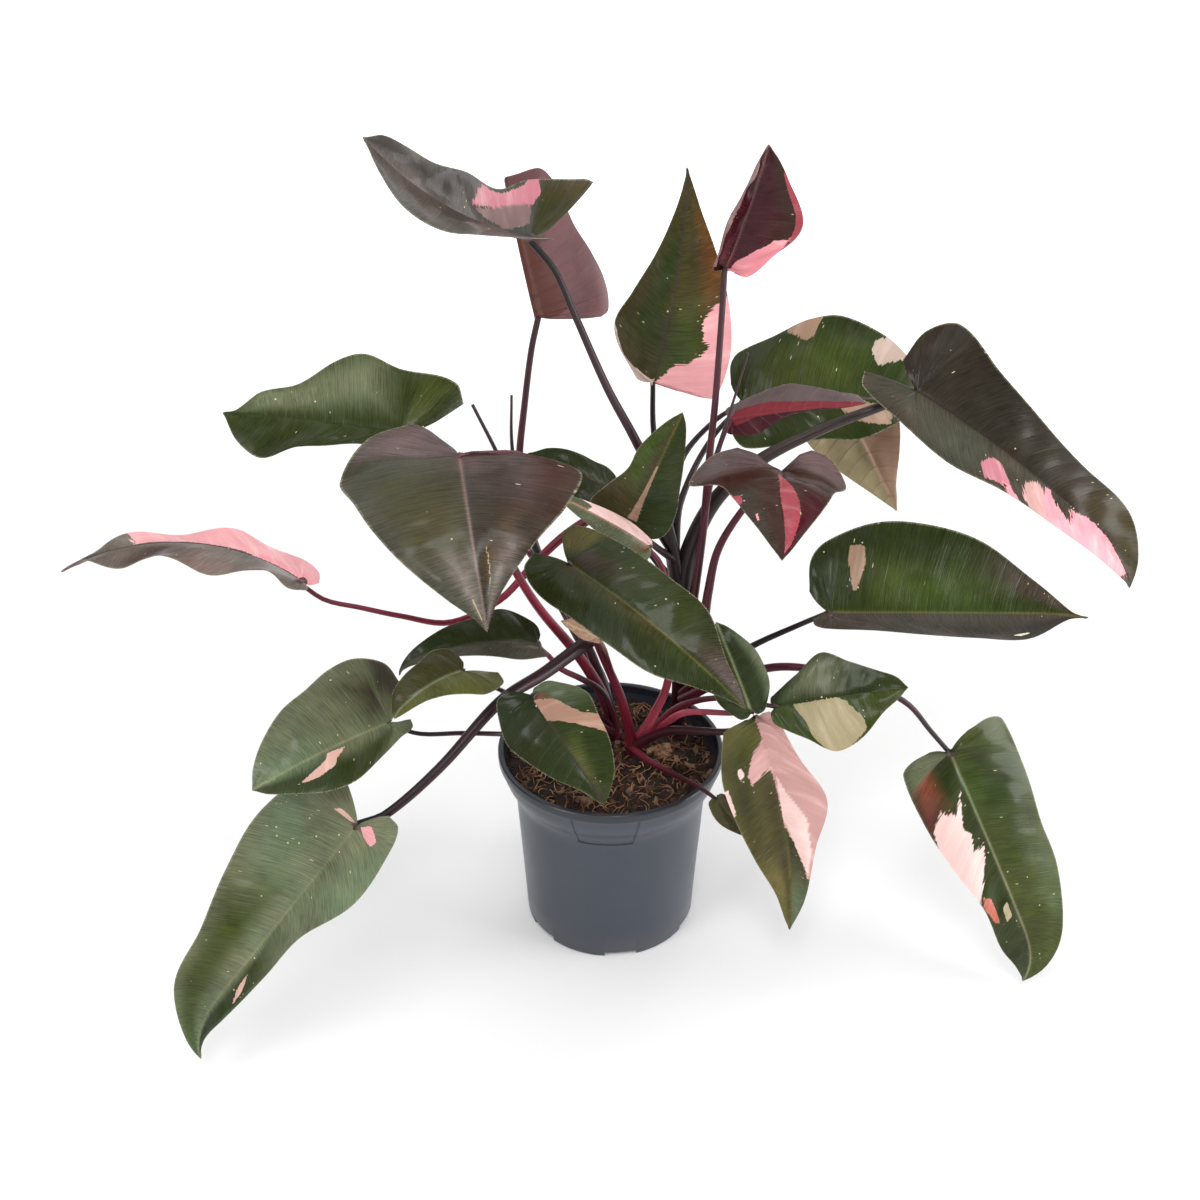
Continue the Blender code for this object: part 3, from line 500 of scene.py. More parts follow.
def add_fibres():
    """Curled coir: one curve of many short splines, rounded by its bevel and made a mesh."""
    curve = bpy.data.curves.new("soil_fibres", "CURVE")
    curve.dimensions = "3D"
    curve.bevel_depth = FIBRE_RADIUS * MM
    curve.bevel_resolution = 1
    curve.use_fill_caps = True
    for _ in range(FIBRES):
        x, y = soil_spot(4.0)
        heading, bend = draw.uniform(0, 2 * pi), draw.gauss(0, 0.17)
        lift, thin = draw.uniform(0.2, 2.6), draw.uniform(0.5, 1.3)
        points, steps = [], draw.randint(6, 13)
        for step in range(steps):
            arch = sin(pi * step / (steps - 1)) * lift
            points.append(Vector((x, y, soil_height(x, y) + 0.3 + arch)) * MM)
            heading += bend + draw.gauss(0, 0.12)
            x, y = x + FIBRE_STEP * cos(heading), y + FIBRE_STEP * sin(heading)
            if x * x + y * y > FIBRE_REACH**2:
                break
        if len(points) < 4:
            continue
        spline = curve.splines.new("POLY")
        spline.points.add(len(points) - 1)
        for i, point in enumerate(points):
            spline.points[i].co = (*point, 1.0)
            spline.points[i].radius = thin * (1.0 if 0 < i < len(points) - 1 else 0.4)
    pick(add_object("soil_fibres", curve))
    bpy.ops.object.convert(target="MESH")
    return bpy.context.object


def soil_finish(name, dark, light, scale):
    """Damp organic matter: a dark and a lighter brown in patches, with a rough, gritty face."""
    material, shader, place, _ = new_finish(name)
    patches = place.grain(scale, 5.0, 0.65)
    grit = place.grain(1400, 3.0, 0.7)
    feed(shader,
         Base_Color=patches.rise(0.36, 0.68).mix(dark, light),
         Roughness=0.78 + grit * 0.2,
         Normal=(grit + patches).bump(0.0006, 0.8))
    return material


for make, *look in (
        (add_soil, "damp_peat", (0.006, 0.003, 0.002), (0.045, 0.020, 0.010), 120),
        (add_crumbs, "peat_crumbs", (0.012, 0.006, 0.003), (0.110, 0.052, 0.026), 60),
        (add_chips, "husk_chips", (0.080, 0.038, 0.018), (0.330, 0.190, 0.105), 50),
        (add_husk, "husk_lump", (0.080, 0.036, 0.018), (0.460, 0.270, 0.150), 160),
        (add_fibres, "coir_fibre", (0.150, 0.066, 0.030), (0.600, 0.330, 0.170), 40)):
    piece = make()
    piece.data.materials.append(soil_finish(*look))
    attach(piece, "root")
    if piece.name == "soil_top":
        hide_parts("soil")
    else:
        shade(piece, 50)


# The leaf blades.
# Each is one living sheet about a millimetre thick, green or near-black on top and paler below. A rib stands
# out underneath, side veins are pressed into the top, and pink or cream sectors have no green in them.
# Grey sheen on some faces is partly painted into their tones, and shade is painted into the rolled leaf.
BLADE_THICK = 0.9
EDGE_THICK = 0.35
MIDRIB_STEPS = 40
LATE = 0.72                        # share of the length after which hook and swayhook act
STATIONS = (0.0, 0.2, 0.4, 0.6, 0.8, 0.93)
DIP_SHARE = 0.15
LOBE_SHARE = 0.10
ROWS_PER_VEIN = 7
COLUMNS, CROWDING = 20, 1.5        # columns of a half, and how much closer they stand at the rib
MERGE_WITHIN = 0.02
VEIN_PITCH = 13.0                  # length of midrib to one side vein
RIB_WIDTH = 1.5
RIB_LEAST, RIB_GROWTH = 0.9, 110   # how far a rib stands out, and the length that adds a millimetre to it
GROOVE, PRESSED = 0.35, 0.22       # depth of the channel over the rib, and of a side vein
SWELL, PUCKER = 1.5, 1.4           # height of the slow swells, and of the puckers at a crumple of 1
SWELL_FADE, RIPPLE_FADE = 0.20, 0.15    # share of the margin before the tip in which they die away
PATCH_STRETCH = 2.0                # a blade is about this many half widths long
PATCH_SOFT = 0.24                  # width of a patch's edge in which its teeth may reach
LEAF_WARMTH = (0.92, 1.01, 0.95), (1.12, 0.97, 0.95)
VEIN_TONE, UNDER_VEIN_TONE = (0.085, 0.095, 0.050), (0.16, 0.09, 0.08)
FLECK_TONE = (0.60, 0.58, 0.36)
# Pale margin line: partly the margin's own paler colour, partly painted rim light.
MARGIN_TONE = (0.28, 0.26, 0.17)
PALEST_PINK = (0.95, 0.72, 0.68)
DOT_CELLS = 260                    # cells a metre, of which a few hold a round fleck
TONES = {
    "green": (0.022, 0.034, 0.005),
    "fresh_green": (0.044, 0.063, 0.009),
    "deep_green": (0.019, 0.027, 0.006),
    "olive": (0.044, 0.038, 0.010),
    "yellow_olive": (0.092, 0.088, 0.022),
    # Partly painted sheen: a grey green lifted to the brightness of the sheen on the faces that wear it.
    "grey_green": (0.104, 0.130, 0.070),
    # Partly painted sheen: a dark grey green lifted by the grey sheen of the faces that wear it.
    "slate_green": (0.062, 0.056, 0.040),
    "bronze": (0.044, 0.033, 0.023),
    "black_brown": (0.026, 0.019, 0.012),
    "brown": (0.038, 0.012, 0.007),
    "maroon": (0.050, 0.004, 0.010),
    "mauve": (0.150, 0.062, 0.066),
    # The underside's grey mauve; as a stain mark round some blades' lobes it is painted sheen.
    "grey_mauve": (0.115, 0.082, 0.082),
    "pink": (0.860, 0.390, 0.410),
    "hot_pink": (0.900, 0.310, 0.360),
    "mauve_pink": (0.600, 0.330, 0.305),
    "salmon_pink": (0.680, 0.410, 0.340),
    "red_pink": (0.380, 0.060, 0.080),
    "coral": (0.520, 0.130, 0.090),
    # Partly painted sheen: a green lifted to the silver of its sheen.
    "silver_green_sheen": (0.135, 0.165, 0.095),
    "rose_red": (0.300, 0.035, 0.048),
    "rose_pink": (0.560, 0.210, 0.250),
    "faded": (0.520, 0.400, 0.330),
    "pale_pink": (0.920, 0.630, 0.590),
    "grey_pink": (0.230, 0.150, 0.145),
    "cream": (0.850, 0.760, 0.530),
    "beige": (0.400, 0.335, 0.190),
    "salmon": (0.420, 0.240, 0.165),
    "orange": (0.110, 0.046, 0.010),
    "rust": (0.230, 0.052, 0.030),
    "tan": (0.330, 0.210, 0.140),
    # Painted sheen over grey-brown, for the top-left blade's faces.
    "smoke_sheen": (0.084, 0.076, 0.068),
    # Partly painted sheen: a mauve lifted to the grey of its sheen.
    "dusty": (0.200, 0.155, 0.140),
    "russet": (0.170, 0.052, 0.038),
    "leaf_vein": (0.190, 0.210, 0.110),
}

# The shape keys are those of the plant's construction. A half is the reach of its lobe behind the base, how
# far the lobe's inner end is from the midrib, and its width at the six stations. The looks are the tone of
# each half (right, left), of the rib and of each half's underside, how dull and how crumpled the blade is,
# and what is on it. A patch has a toothed edge: its tone, its corners, and at times how wide that edge is and
# how full the patch is. A corner is the share of the midrib at which its side vein starts, with -1 to 0 round
# the lobe, and how far out it is, to 1 at the right margin and -1 at the left. A stain is soft: its side,
# from and to along the midrib, inner and outer share of the way out, and its tone. PLAIN_LEAF has what a row
# leaves out.
# Some stain marks and half tones are partly painted sheen, greyer and lighter than the leaf's own colour;
# comments in the rows say which.
LEAVES = {
    "leaf_top_left": dict(
        base=(-51, 10, 541), tip=(-141, -50, 615), faces=(0, -0.2, 1), droop=-40, twist=-45,
        right=(42, 32, 38, 25, 25, 18, 14, 9), left=(8, 10, 24, 30, 37, 44, 37, 18), fold=(35, 25),
        arch=(-10, 10), dip=(-14, 0),
        # The smoke tone of both halves is grey-brown lifted by painted sheen.
        slot="grey_green", tones=("smoke_sheen", "smoke_sheen"), rib="grey_mauve", crumple=1.8,
        patches=(
            ("grey_pink", ((0.34, 0.30), (0.27, 0.15), (0.17, 0.03), (0.02, 0.22), (-0.2, 0.5),
                           (0.14, 0.66))),
            ("rose_pink", ((0.36, 0.35), (0.28, 0.95), (0.16, 0.90), (0.02, 0.92), (-0.19, 1.1),
                           (-0.33, 0.75), (-0.20, 0.57), (0.14, 0.62), (0.26, 0.48))),
        ),
        stains_and_sheen=(("right", -1.0, -0.3, 0.0, 1.0, "olive"), ("right", 0.45, 1.0, 0.4, 0.8, "black_brown"),
                ("left", 0.3, 0.7, 0.3, 0.8, "bronze"))),
    "leaf_rolled_mauve": dict(
        base=(-51, 75, 467), tip=(-68, 52, 568), faces=(-0.25, 1, 0.3), droop=45,
        right=(3, 4, 6, 8, 9, 9, 8, 5), left=(16, 56, 82, 65, 49, 41, 33, 23), fold=(65, 12), arch=(-60, -62),
        slot="mauve", tones=("bronze", "bronze"), rib="mauve", under=("brown", "mauve"), dull=0.45,
        patches=(
            # Partly painted shade: the russet sector stands for the shadowed third of the roll, over a redder
            # colour.
            ("russet", ((0.0, -0.34), (0.6, -0.30), (0.8, 0.0), (0.8, 1.1), (-1.1, 1.1), (-1.1, -0.20))),
        )),
    "leaf_upright_back": dict(
        base=(29, 60, 425), tip=(50, 85, 566), faces=(0, -1, 0.3), droop=12, sway=-15,
        right=(1, 20, 46, 48, 40, 27, 12, 4), left=(2, 6, 13, 41, 30, 17, 7, 2), fold=(5, 5), arch=(20, 60),
        slot="olive", tones=("olive", "olive"), rib="bronze", under=("grey_mauve", "faded"), dull=0.40,
        patches=(
            ("pink", ((0.0, 0.03), (0.11, 0.20), (0.13, 0.42), (0.20, 0.70), (0.23, 0.58), (0.33, 0.56),
                      (0.37, 0.72), (0.42, 1.1), (-0.6, 1.1), (-1.1, 1.0), (-1.1, 0.0))),
            ("faded", ((-1.1, -1.1), (-1.1, -0.10), (-0.5, -0.30), (-0.1, -0.62), (0.10, -0.9), (0.14, -1.1)),
             0.06),
        ),
        stains_and_sheen=(("right", 0.42, 0.80, 0.62, 1.1, "orange"), ("left", 0.2, 0.7, 0.1, 0.7, "green"),
                ("right", 0.0, 0.4, 0.1, 0.5, "fresh_green"))),
    "leaf_cupped_young": dict(
        base=(72, 10, 522), tip=(92, -10, 602), faces=(0.4, -0.85, 0.2), droop=10,
        right=(2, 6, 14, 24, 32, 34, 18, 7), left=(1, 4, 12, 21, 21, 16, 8, 3), fold=(25, 15),
        arch=(-40, -30), wave=(1.5, 1.5), waves=2.5,
        slot="maroon", tones=("maroon", "maroon"), rib="mauve", under=("mauve", "mauve"), dull=0.22,
        crumple=4.0,
        patches=(
            ("hot_pink", ((-0.2, 0.1), (0.08, 0.17), (0.19, 0.35), (0.32, 0.65), (0.33, 0.85), (0.25, 0.93),
                          (0.15, 1.1), (-1.1, 1.1), (-1.1, 0.1)), 0.10),
            ("red_pink", ((0.22, 0.98), (0.36, 0.90), (0.62, 0.86), (0.80, 0.90), (0.80, 1.1), (0.22, 1.1)),
             0.10),
            ("grey_pink", ((-0.2, -0.65), (0.4, -0.72), (0.85, -0.62), (0.9, -1.1), (-0.2, -1.1))),
        ),
        stains_and_sheen=(("left", -1.0, 0.0, 0.0, 1.0, "brown"), ("right", 0.3, 1.0, 0.6, 1.1, "brown"))),
    "leaf_back_right": dict(
        base=(98, 110, 389), tip=(239, 130, 382), faces=(0, -1, 0.8), droop=20,
        right=(10, 12, 36, 34, 31, 32, 20, 9), left=(8, 14, 40, 52, 66, 71, 54, 26), fold=(5, 5),
        arch=(10, 30), wave=(2.0, 3.0),
        slot="green", tones=("green", "green"), rib="grey_mauve", dull=0.36, crumple=1.6,
        patches=(
            ("tan", ((0.13, -1.1), (0.13, -0.95), (0.23, -0.78), (0.28, -0.68), (0.32, -0.72), (0.34, -1.1)),
             0.16),
            ("faded", ((0.62, -0.85), (0.62, -0.72), (0.69, -0.55), (0.76, -0.78), (0.82, -1.1),
                       (0.68, -1.1)), 0.16),
            ("tan", ((0.50, 0.05), (0.66, 0.05), (0.80, 0.40), (0.74, 0.95), (0.58, 0.60))),
        ),
        stains_and_sheen=(("left", 0.15, 0.6, 0.1, 0.7, "fresh_green"),)),
    "leaf_back_right_under": dict(
        base=(178, 165, 372), tip=(227, 130, 288), faces=(0.1, 1, -0.3), droop=5,
        right=(10, 10, 32, 36, 33, 23, 10, 4), left=(10, 10, 36, 38, 32, 22, 11, 4), fold=(5, 5),
        arch=(20, 20),
        slot="tan", tones=("green", "green"), rib="beige", under=("tan", "beige"), dull=0.45),
    "leaf_far_right_dark": dict(
        base=(210, 40, 426), tip=(364, -10, 299), faces=(0.2, -0.8, 1), droop=28, swayhook=30,
        right=(38, 10, 30, 34, 28, 24, 15, 8), left=(20, 14, 62, 44, 35, 30, 28, 14), fold=(12, 15),
        arch=(25, 15), wave=(2.0, 2.0),
        slot="bronze", tones=("bronze", "black_brown"), rib="black_brown", dull=0.34,
        patches=(
            ("rose_pink", ((0.25, 0.95), (0.25, 0.72), (0.32, 0.42), (0.36, 0.38), (0.37, 0.80)), 0.12),
            ("hot_pink", ((0.33, 0.86), (0.37, 0.84), (0.40, 1.1), (0.34, 1.1)), 0.12),
            ("mauve_pink", ((0.42, 0.85), (0.46, 0.45), (0.52, 0.12), (0.55, 0.25), (0.53, 1.1),
                            (0.45, 1.1))),
            ("hot_pink", ((0.55, 0.20), (0.57, 0.06), (0.61, 0.45), (0.65, 0.68), (0.67, 0.12), (0.73, -0.10),
                          (0.82, -0.12), (0.96, -0.05), (0.93, 1.1), (0.52, 1.1), (0.52, 0.75))),
        ),
        # The slate green mark over the right lobe and the first half of the right side is painted sheen.
        stains_and_sheen=(("right", -1.0, 0.5, 0.1, 0.9, "slate_green"), ("left", 0.7, 1.0, 0.3, 1.1, "olive"))),
    "leaf_centre_maroon": dict(
        base=(112, -20, 394), tip=(105, -100, 371), faces=(0, -0.3, 1), droop=45,
        right=(14, 30, 64, 42, 33, 24, 13, 5), left=(14, 20, 46, 36, 30, 22, 12, 5), fold=(5, 5),
        arch=(40, 40), dip=(-12, -12),
        slot="maroon", tones=("brown", "brown"), rib="brown", under=("mauve", "mauve"), dull=0.32,
        crumple=1.4,
        patches=(
            ("red_pink", ((0.08, 0.05), (0.22, -0.07), (0.45, -0.42), (0.64, -0.62), (0.88, -0.75),
                          (0.97, -0.40), (0.78, -0.10), (0.50, 0.05))),
            ("red_pink", ((0.36, 1.1), (0.38, 0.85), (0.46, 0.88), (0.48, 1.1)), 0.12),
            ("pink", ((0.57, 0.74), (0.60, 0.71), (0.68, 0.80), (0.66, 0.86)), 0.08),
        ),
        # The grey mauve marks round both lobes are painted sheen.
        stains_and_sheen=(("right", -1.0, -0.05, 0.2, 1.1, "grey_mauve"), ("left", -1.0, -0.1, 0.2, 1.1, "grey_mauve"),
                ("right", 0.3, 1.0, 0.5, 1.0, "bronze"), ("left", 0.3, 1.0, 0.5, 1.0, "maroon"))),
    "leaf_right_glossy": dict(
        base=(149, -40, 297), tip=(331, -30, 286), faces=(0, -1, 0.8), swayhook=10,
        right=(10, 6, 16, 18, 22, 26, 28, 4), left=(14, 14, 50, 64, 62, 50, 22, 3), fold=(-45, 10),
        arch=(20, 25), wave=(2.0, 2.0), waves=1.6,
        slot="green", tones=("bronze", "green"), rib="yellow_olive", dull=0.26, crumple=2.0,
        patches=(
            ("tan", ((0.05, -0.80), (0.12, -0.74), (0.135, -0.52), (0.12, -0.24), (0.10, -0.24),
                     (0.07, -0.50)), 0.10),
            ("cream", ((0.68, 0.76), (0.75, 0.74), (0.76, 0.80), (0.70, 0.83)), 0.08),
        ),
        stains_and_sheen=(("left", 0.6, 1.0, 0.5, 1.1, "bronze"), ("right", 0.4, 1.1, 0.4, 1.1, "black_brown"),
                ("left", -1.0, 0.05, 0.2, 1.1, "deep_green"), ("left", 0.2, 0.6, 0.1, 0.5, "fresh_green"))),
    "leaf_right_small": dict(
        base=(112, -75, 243), tip=(199, -80, 262), faces=(0, -1, 0.9), droop=15,
        right=(4, 4, 14, 25, 36, 30, 14, 6), left=(3, 3, 8, 20, 32, 23, 14, 8), fold=(5, 5), arch=(15, 15),
        slot="green", tones=("fresh_green", "green"), rib="green",
        patches=(
            ("beige", ((0.16, 0.02), (0.50, 0.0), (0.56, 0.12), (0.62, 0.60), (0.60, 0.92), (0.46, 0.98),
                       (0.42, 1.1), (0.30, 1.1), (0.21, 0.88), (0.21, 0.42)), 0.16),
        ),
        # The grey green mark on the left half is painted sheen.
        stains_and_sheen=(("left", 0.1, 0.5, 0.2, 0.9, "grey_green"),)),
    "leaf_low_right": dict(
        base=(241, -60, 192), tip=(310, -100, 9), faces=(0.1, -1, 0.5), droop=10, hook=15, swayhook=40,
        right=(8, 14, 38, 38, 32, 23, 21, 10), left=(10, 18, 50, 50, 45, 45, 30, 13), fold=(10, 10),
        arch=(30, 45), wave=(2.0, 2.0),
        slot="green", tones=("green", "fresh_green"), rib="leaf_vein", dull=0.36, crumple=1.8,
        patches=(
            ("pale_pink", ((0.16, 0.12), (0.21, 0.40), (0.14, 0.66), (0.16, 0.92), (0.28, 1.1), (0.50, 1.1),
                           (0.49, 0.72), (0.45, 0.33), (0.40, 0.12), (0.38, 0.45), (0.32, 0.30),
                           (0.28, 0.42))),
            ("beige", ((0.64, 0.20), (0.69, 0.24), (0.69, 0.48), (0.64, 0.45)), 0.08),
            ("coral", ((0.51, 0.84), (0.55, 0.66), (0.60, 0.66), (0.66, 0.70), (0.63, 0.85), (0.53, 1.0)),
             0.14),
        ),
        stains_and_sheen=(("right", -0.9, -0.1, 0.0, 1.0, "grey_green"), ("right", 0.02, 0.2, 0.7, 1.1, "brown"),
                ("right", -0.15, 0.08, 0.55, 0.85, "rust"), ("left", 0.0, 0.3, 0.2, 0.9, "green"))),
    "leaf_centre_front": dict(
        base=(-28, -56, 344), tip=(85, -126, 277), faces=(0, -0.6, 1), droop=30,
        right=(24, 8, 31, 31, 30, 27, 13, 4), left=(18, 14, 29, 32, 32, 31, 14, 6), fold=(15, 18),
        arch=(35, 20),
        slot="green", tones=("green", "green"), rib="yellow_olive", dull=0.30, crumple=1.1,
        stains_and_sheen=(("right", -0.6, 0.5, 0.0, 0.20, "olive"), ("left", -0.3, 0.2, 0.0, 0.5, "bronze"),
                ("left", 0.75, 1.1, 0.3, 1.1, "grey_mauve"), ("left", -1.0, -0.3, 0.4, 1.1, "yellow_olive"),
                ("right", 0.1, 0.8, 0.4, 0.9, "deep_green"))),
    "leaf_front_right_pink": dict(
        base=(100, -70, 229), tip=(131, -100, 61), faces=(0.1, -1, 0.3), droop=15, sway=20,
        right=(3, 8, 26, 37, 35, 26, 12, 5), left=(3, 6, 13, 20, 32, 20, 11, 4), fold=(20, 25), arch=(40, 30),
        wave=(2.0, 2.0),
        slot="pink", tones=("yellow_olive", "olive"), rib="yellow_olive", under=("grey_mauve", "grey_pink"),
        dull=0.34, crumple=1.6,
        patches=(
            ("mauve_pink", ((-1.1, 0.02), (0.52, 0.03), (0.60, -0.30), (0.69, -0.85), (0.72, -1.1),
                            (-1.1, -1.1))),
            ("pale_pink", ((0.28, -0.02), (0.50, 0.02), (0.60, -0.30), (0.70, -0.85), (0.60, -0.92),
                           (0.45, -0.62), (0.36, -0.15))),
            ("mauve_pink", ((0.10, 0.0), (0.26, 0.0), (0.24, 0.20), (0.27, 0.50), (0.20, 0.50),
                            (0.15, 0.35))),
            ("pale_pink", ((0.13, 0.60), (0.19, 0.56), (0.22, 0.64), (0.16, 0.68)), 0.08),
            ("pale_pink", ((0.20, 0.92), (0.33, 0.93), (0.33, 1.1), (0.2, 1.1)), 0.10),
        ),
        stains_and_sheen=(("left", 0.2, 0.5, 0.93, 1.2, "bronze"), ("right", 0.2, 0.9, 0.0, 0.4, "olive"),
                ("right", 0.1, 0.5, 0.5, 0.9, "olive"), ("left", 0.75, 1.1, 0.0, 1.1, "grey_green"))),
    "leaf_tiny_right": dict(
        base=(74, -85, 170), tip=(96, -80, 134), faces=(0, -1, 0.5), droop=20,
        right=(3, 3, 7, 9, 9, 7, 4, 2), left=(3, 3, 7, 9, 9, 7, 4, 2),
        slot="olive", tones=("olive", "olive"), rib="olive"),
    "leaf_behind_centre": dict(
        base=(95, -80, 242), tip=(71, -50, 295), faces=(0.1, -1, 0.5), droop=20,
        right=(3, 4, 11, 19, 20, 18, 11, 5), left=(3, 4, 11, 19, 20, 18, 11, 5), fold=(5, 5),
        slot="green", tones=("deep_green", "green"), rib="leaf_vein",
        stains_and_sheen=(("right", 0.0, 0.8, 0.75, 1.1, "grey_green"),)),
    "leaf_centre_upright": dict(
        base=(14, -5, 350), tip=(47, 5, 425), faces=(0, -1, 0.3), droop=10,
        right=(8, 8, 26, 26, 21, 16, 10, 5), left=(6, 10, 32, 26, 18, 17, 11, 5), fold=(10, 10),
        slot="olive", tones=("green", "olive"), rib="yellow_olive",
        patches=(("tan", ((-0.1, -0.14), (0.55, -0.04), (0.55, 0.04), (-0.1, 0.14)), 0.12, 0.62),),
        stains_and_sheen=(("left", 0.3, 0.9, 0.4, 1.0, "fresh_green"),)),
    "leaf_centre_edge": dict(
        base=(26, -18, 336), tip=(-36, -31, 381), faces=(0, -0.25, 1), droop=10,
        right=(2, 3, 8, 14, 13, 10, 7, 4), left=(4, 5, 12, 14, 12, 9, 6, 3), fold=(10, -45),
        slot="pink", tones=("grey_green", "grey_green"), rib="salmon", under=("grey_mauve", "grey_green"),
        patches=(("pale_pink", ((-1.1, 0.03), (0.72, 0.03), (0.66, 0.5), (0.72, 1.1), (-1.1, 1.1)), 0.12),),
        stains_and_sheen=(("left", -0.5, 0.1, 0.0, 0.5, "orange"),)),
    "leaf_back_small": dict(
        base=(-4, 60, 342), tip=(-59, 40, 379), faces=(0, -0.8, 1), droop=25,
        right=(10, 8, 18, 16, 16, 14, 9, 3), left=(8, 8, 20, 21, 20, 12, 8, 2), arch=(40, 30),
        slot="green", tones=("deep_green", "deep_green"), rib="brown"),
    "leaf_left_shield": dict(
        base=(-95, -70, 428), tip=(-75, -155, 353), faces=(0, -0.7, 1), droop=60,
        right=(48, 26, 76, 68, 58, 43, 22, 6), left=(0, 8, 14, 72, 62, 37, 14, 4), fold=(5, 5), arch=(20, 20),
        dip=(4, 0),
        # The slate green right half is partly painted sheen.
        slot="bronze", tones=("slate_green", "bronze"), rib="grey_pink", under=("mauve", "mauve"), dull=0.27,
        crumple=2.6,
        patches=(
            ("beige", ((0.60, -0.22), (0.80, -0.42), (0.78, -0.46), (0.60, -0.27)), 0.07, 0.6),
            ("beige", ((0.84, 0.30), (0.95, 0.34), (0.94, 0.42), (0.84, 0.38)), 0.04),
        ),
        # The grey mauve marks on the right lobe and by the left base are painted sheen; the dusty marks near
        # the tip are partly painted sheen.
        stains_and_sheen=(("left", -0.6, 0.4, 0.35, 1.0, "brown"), ("left", 0.45, 0.68, 0.32, 0.48, "orange"),
                ("left", 0.0, 0.25, 0.1, 0.55, "grey_mauve"), ("right", -1.0, -0.2, 0.0, 1.0, "grey_mauve"),
                ("left", 0.6, 0.95, 0.45, 0.75, "dusty"), ("right", 0.65, 0.95, 0.1, 0.5, "dusty"),
                ("right", 0.1, 0.6, 0.1, 0.8, "olive"), ("left", 0.1, 0.6, 0.2, 0.45, "black_brown"))),
    "leaf_left_upper": dict(
        base=(-141, 0, 413), tip=(-246, -40, 444), faces=(0, -0.5, 1), droop=10, twist=-15,
        right=(46, 28, 48, 50, 40, 24, 14, 2), left=(8, 8, 16, 16, 17, 20, 30, 18), fold=(25, 5),
        arch=(10, 25), wave=(3.0, 2.0), waves=2.5,
        slot="grey_green", tones=("green", "green"), rib="green", dull=0.30, crumple=1.8,
        stains_and_sheen=(("right", 0.1, 0.9, 0.3, 1.0, "grey_green"),
                ("right", -0.7, -0.3, 0.2, 0.9, "fresh_green"))),
    "leaf_far_left_pink": dict(
        base=(-209, -40, 321), tip=(-357, -70, 346), faces=(0, 0.1, 1), droop=70,
        right=(14, 16, 34, 36, 24, 16, 14, 6), left=(4, 6, 10, 30, 38, 34, 20, 6), fold=(5, 5), arch=(10, 10),
        wave=(3.0, 5.0), waves=3.0,
        # The dusty mauve of both halves is partly painted sheen.
        slot="pink", tones=("dusty", "dusty"), rib="brown", under=("mauve", "mauve"),
        patches=(
            ("pink", ((-1.1, 0.04), (0.2, 0.05), (0.72, 0.10), (0.70, 1.1), (-1.1, 1.1))),
            ("hot_pink", ((-1.1, 0.02), (0.26, 0.03), (0.22, 0.22), (0.05, 0.35), (-0.5, 0.5), (-1.1, 0.6))),
        ),
        stains_and_sheen=(("left", 0.8, 1.1, 0.0, 1.1, "slate_green"), ("right", 0.8, 1.1, 0.0, 1.1, "slate_green"),
                ("left", 0.5, 0.7, 0.2, 0.9, "brown"))),
    "leaf_left_tailed": dict(
        base=(-51, -40, 271), tip=(-143, -75, 269), faces=(0, -0.5, 1), droop=60, hook=60,
        right=(4, 8, 18, 27, 20, 16, 8, 2), left=(4, 8, 12, 16, 12, 8, 5, 2),
        slot="grey_green", tones=("deep_green", "slate_green"), rib="slate_green"),
    "leaf_left_curled": dict(
        base=(-98, -90, 282), tip=(-141, -120, 265), faces=(0, -0.5, 1), droop=75, hook=20,
        right=(4, 6, 20, 22, 18, 16, 12, 5), left=(26, 8, 24, 20, 14, 9, 6, 3),
        slot="olive", tones=("olive", "yellow_olive"), rib="leaf_vein"),
    "leaf_left_lower": dict(
        base=(-149, -95, 244), tip=(-231, -150, 230), faces=(0, -0.6, 1), droop=20,
        right=(20, 22, 52, 51, 44, 38, 25, 12), left=(14, 4, 14, 22, 28, 26, 16, 8), fold=(15, 5),
        arch=(15, 20),
        # The grey green of both halves is partly painted sheen.
        slot="grey_green", tones=("grey_green", "grey_green"), rib="leaf_vein", crumple=1.6,
        patches=(
            ("salmon_pink", ((0.38, -0.12), (0.50, -0.10), (0.52, -0.25), (0.62, -0.45), (0.70, -0.72),
                             (0.56, -0.62), (0.46, -0.48), (0.44, -0.30)), 0.12),
        ),
        stains_and_sheen=(("right", -0.1, 0.1, 0.2, 0.6, "black_brown"), ("left", 0.0, 1.0, 0.3, 1.1, "green"),
                ("right", -1.0, -0.3, 0.5, 1.1, "bronze"))),
    "leaf_low_left": dict(
        base=(-169, -140, 192), tip=(-286, -185, 22), faces=(-0.2, -1, 0.3), droop=10, swayhook=-45,
        right=(20, 24, 50, 57, 50, 38, 31, 11), left=(20, 12, 28, 32, 18, 16, 12, 4), fold=(8, 10),
        arch=(20, 30), wave=(2.0, 2.5),
        # The silver green of both halves is partly painted sheen over the blade's green.
        slot="green", tones=("silver_green_sheen", "silver_green_sheen"), rib="leaf_vein", dull=0.36, crumple=2.0,
        patches=(
            ("pink", ((-0.70, -0.15), (-0.80, -0.40), (-0.45, -0.64), (-0.24, -0.55), (-0.05, -0.26)), 0.12),
            ("salmon_pink", ((-0.36, 0.42), (-0.55, 0.40), (-0.75, 0.08), (-0.36, 0.14)), 0.12),
            ("salmon_pink", ((0.62, -0.38), (0.68, -0.44), (0.73, -0.86), (0.67, -0.72)), 0.10),
            ("cream", ((-0.1, 0.90), (-0.05, 0.55), (0.08, 0.38), (0.14, 0.45), (0.08, 0.85)), PATCH_SOFT,
             0.34),
        ),
        stains_and_sheen=(("left", 0.5, 1.1, 0.2, 1.0, "green"), ("right", 0.35, 1.0, 0.3, 0.9, "fresh_green"))),
    "leaf_front_over_pot": dict(
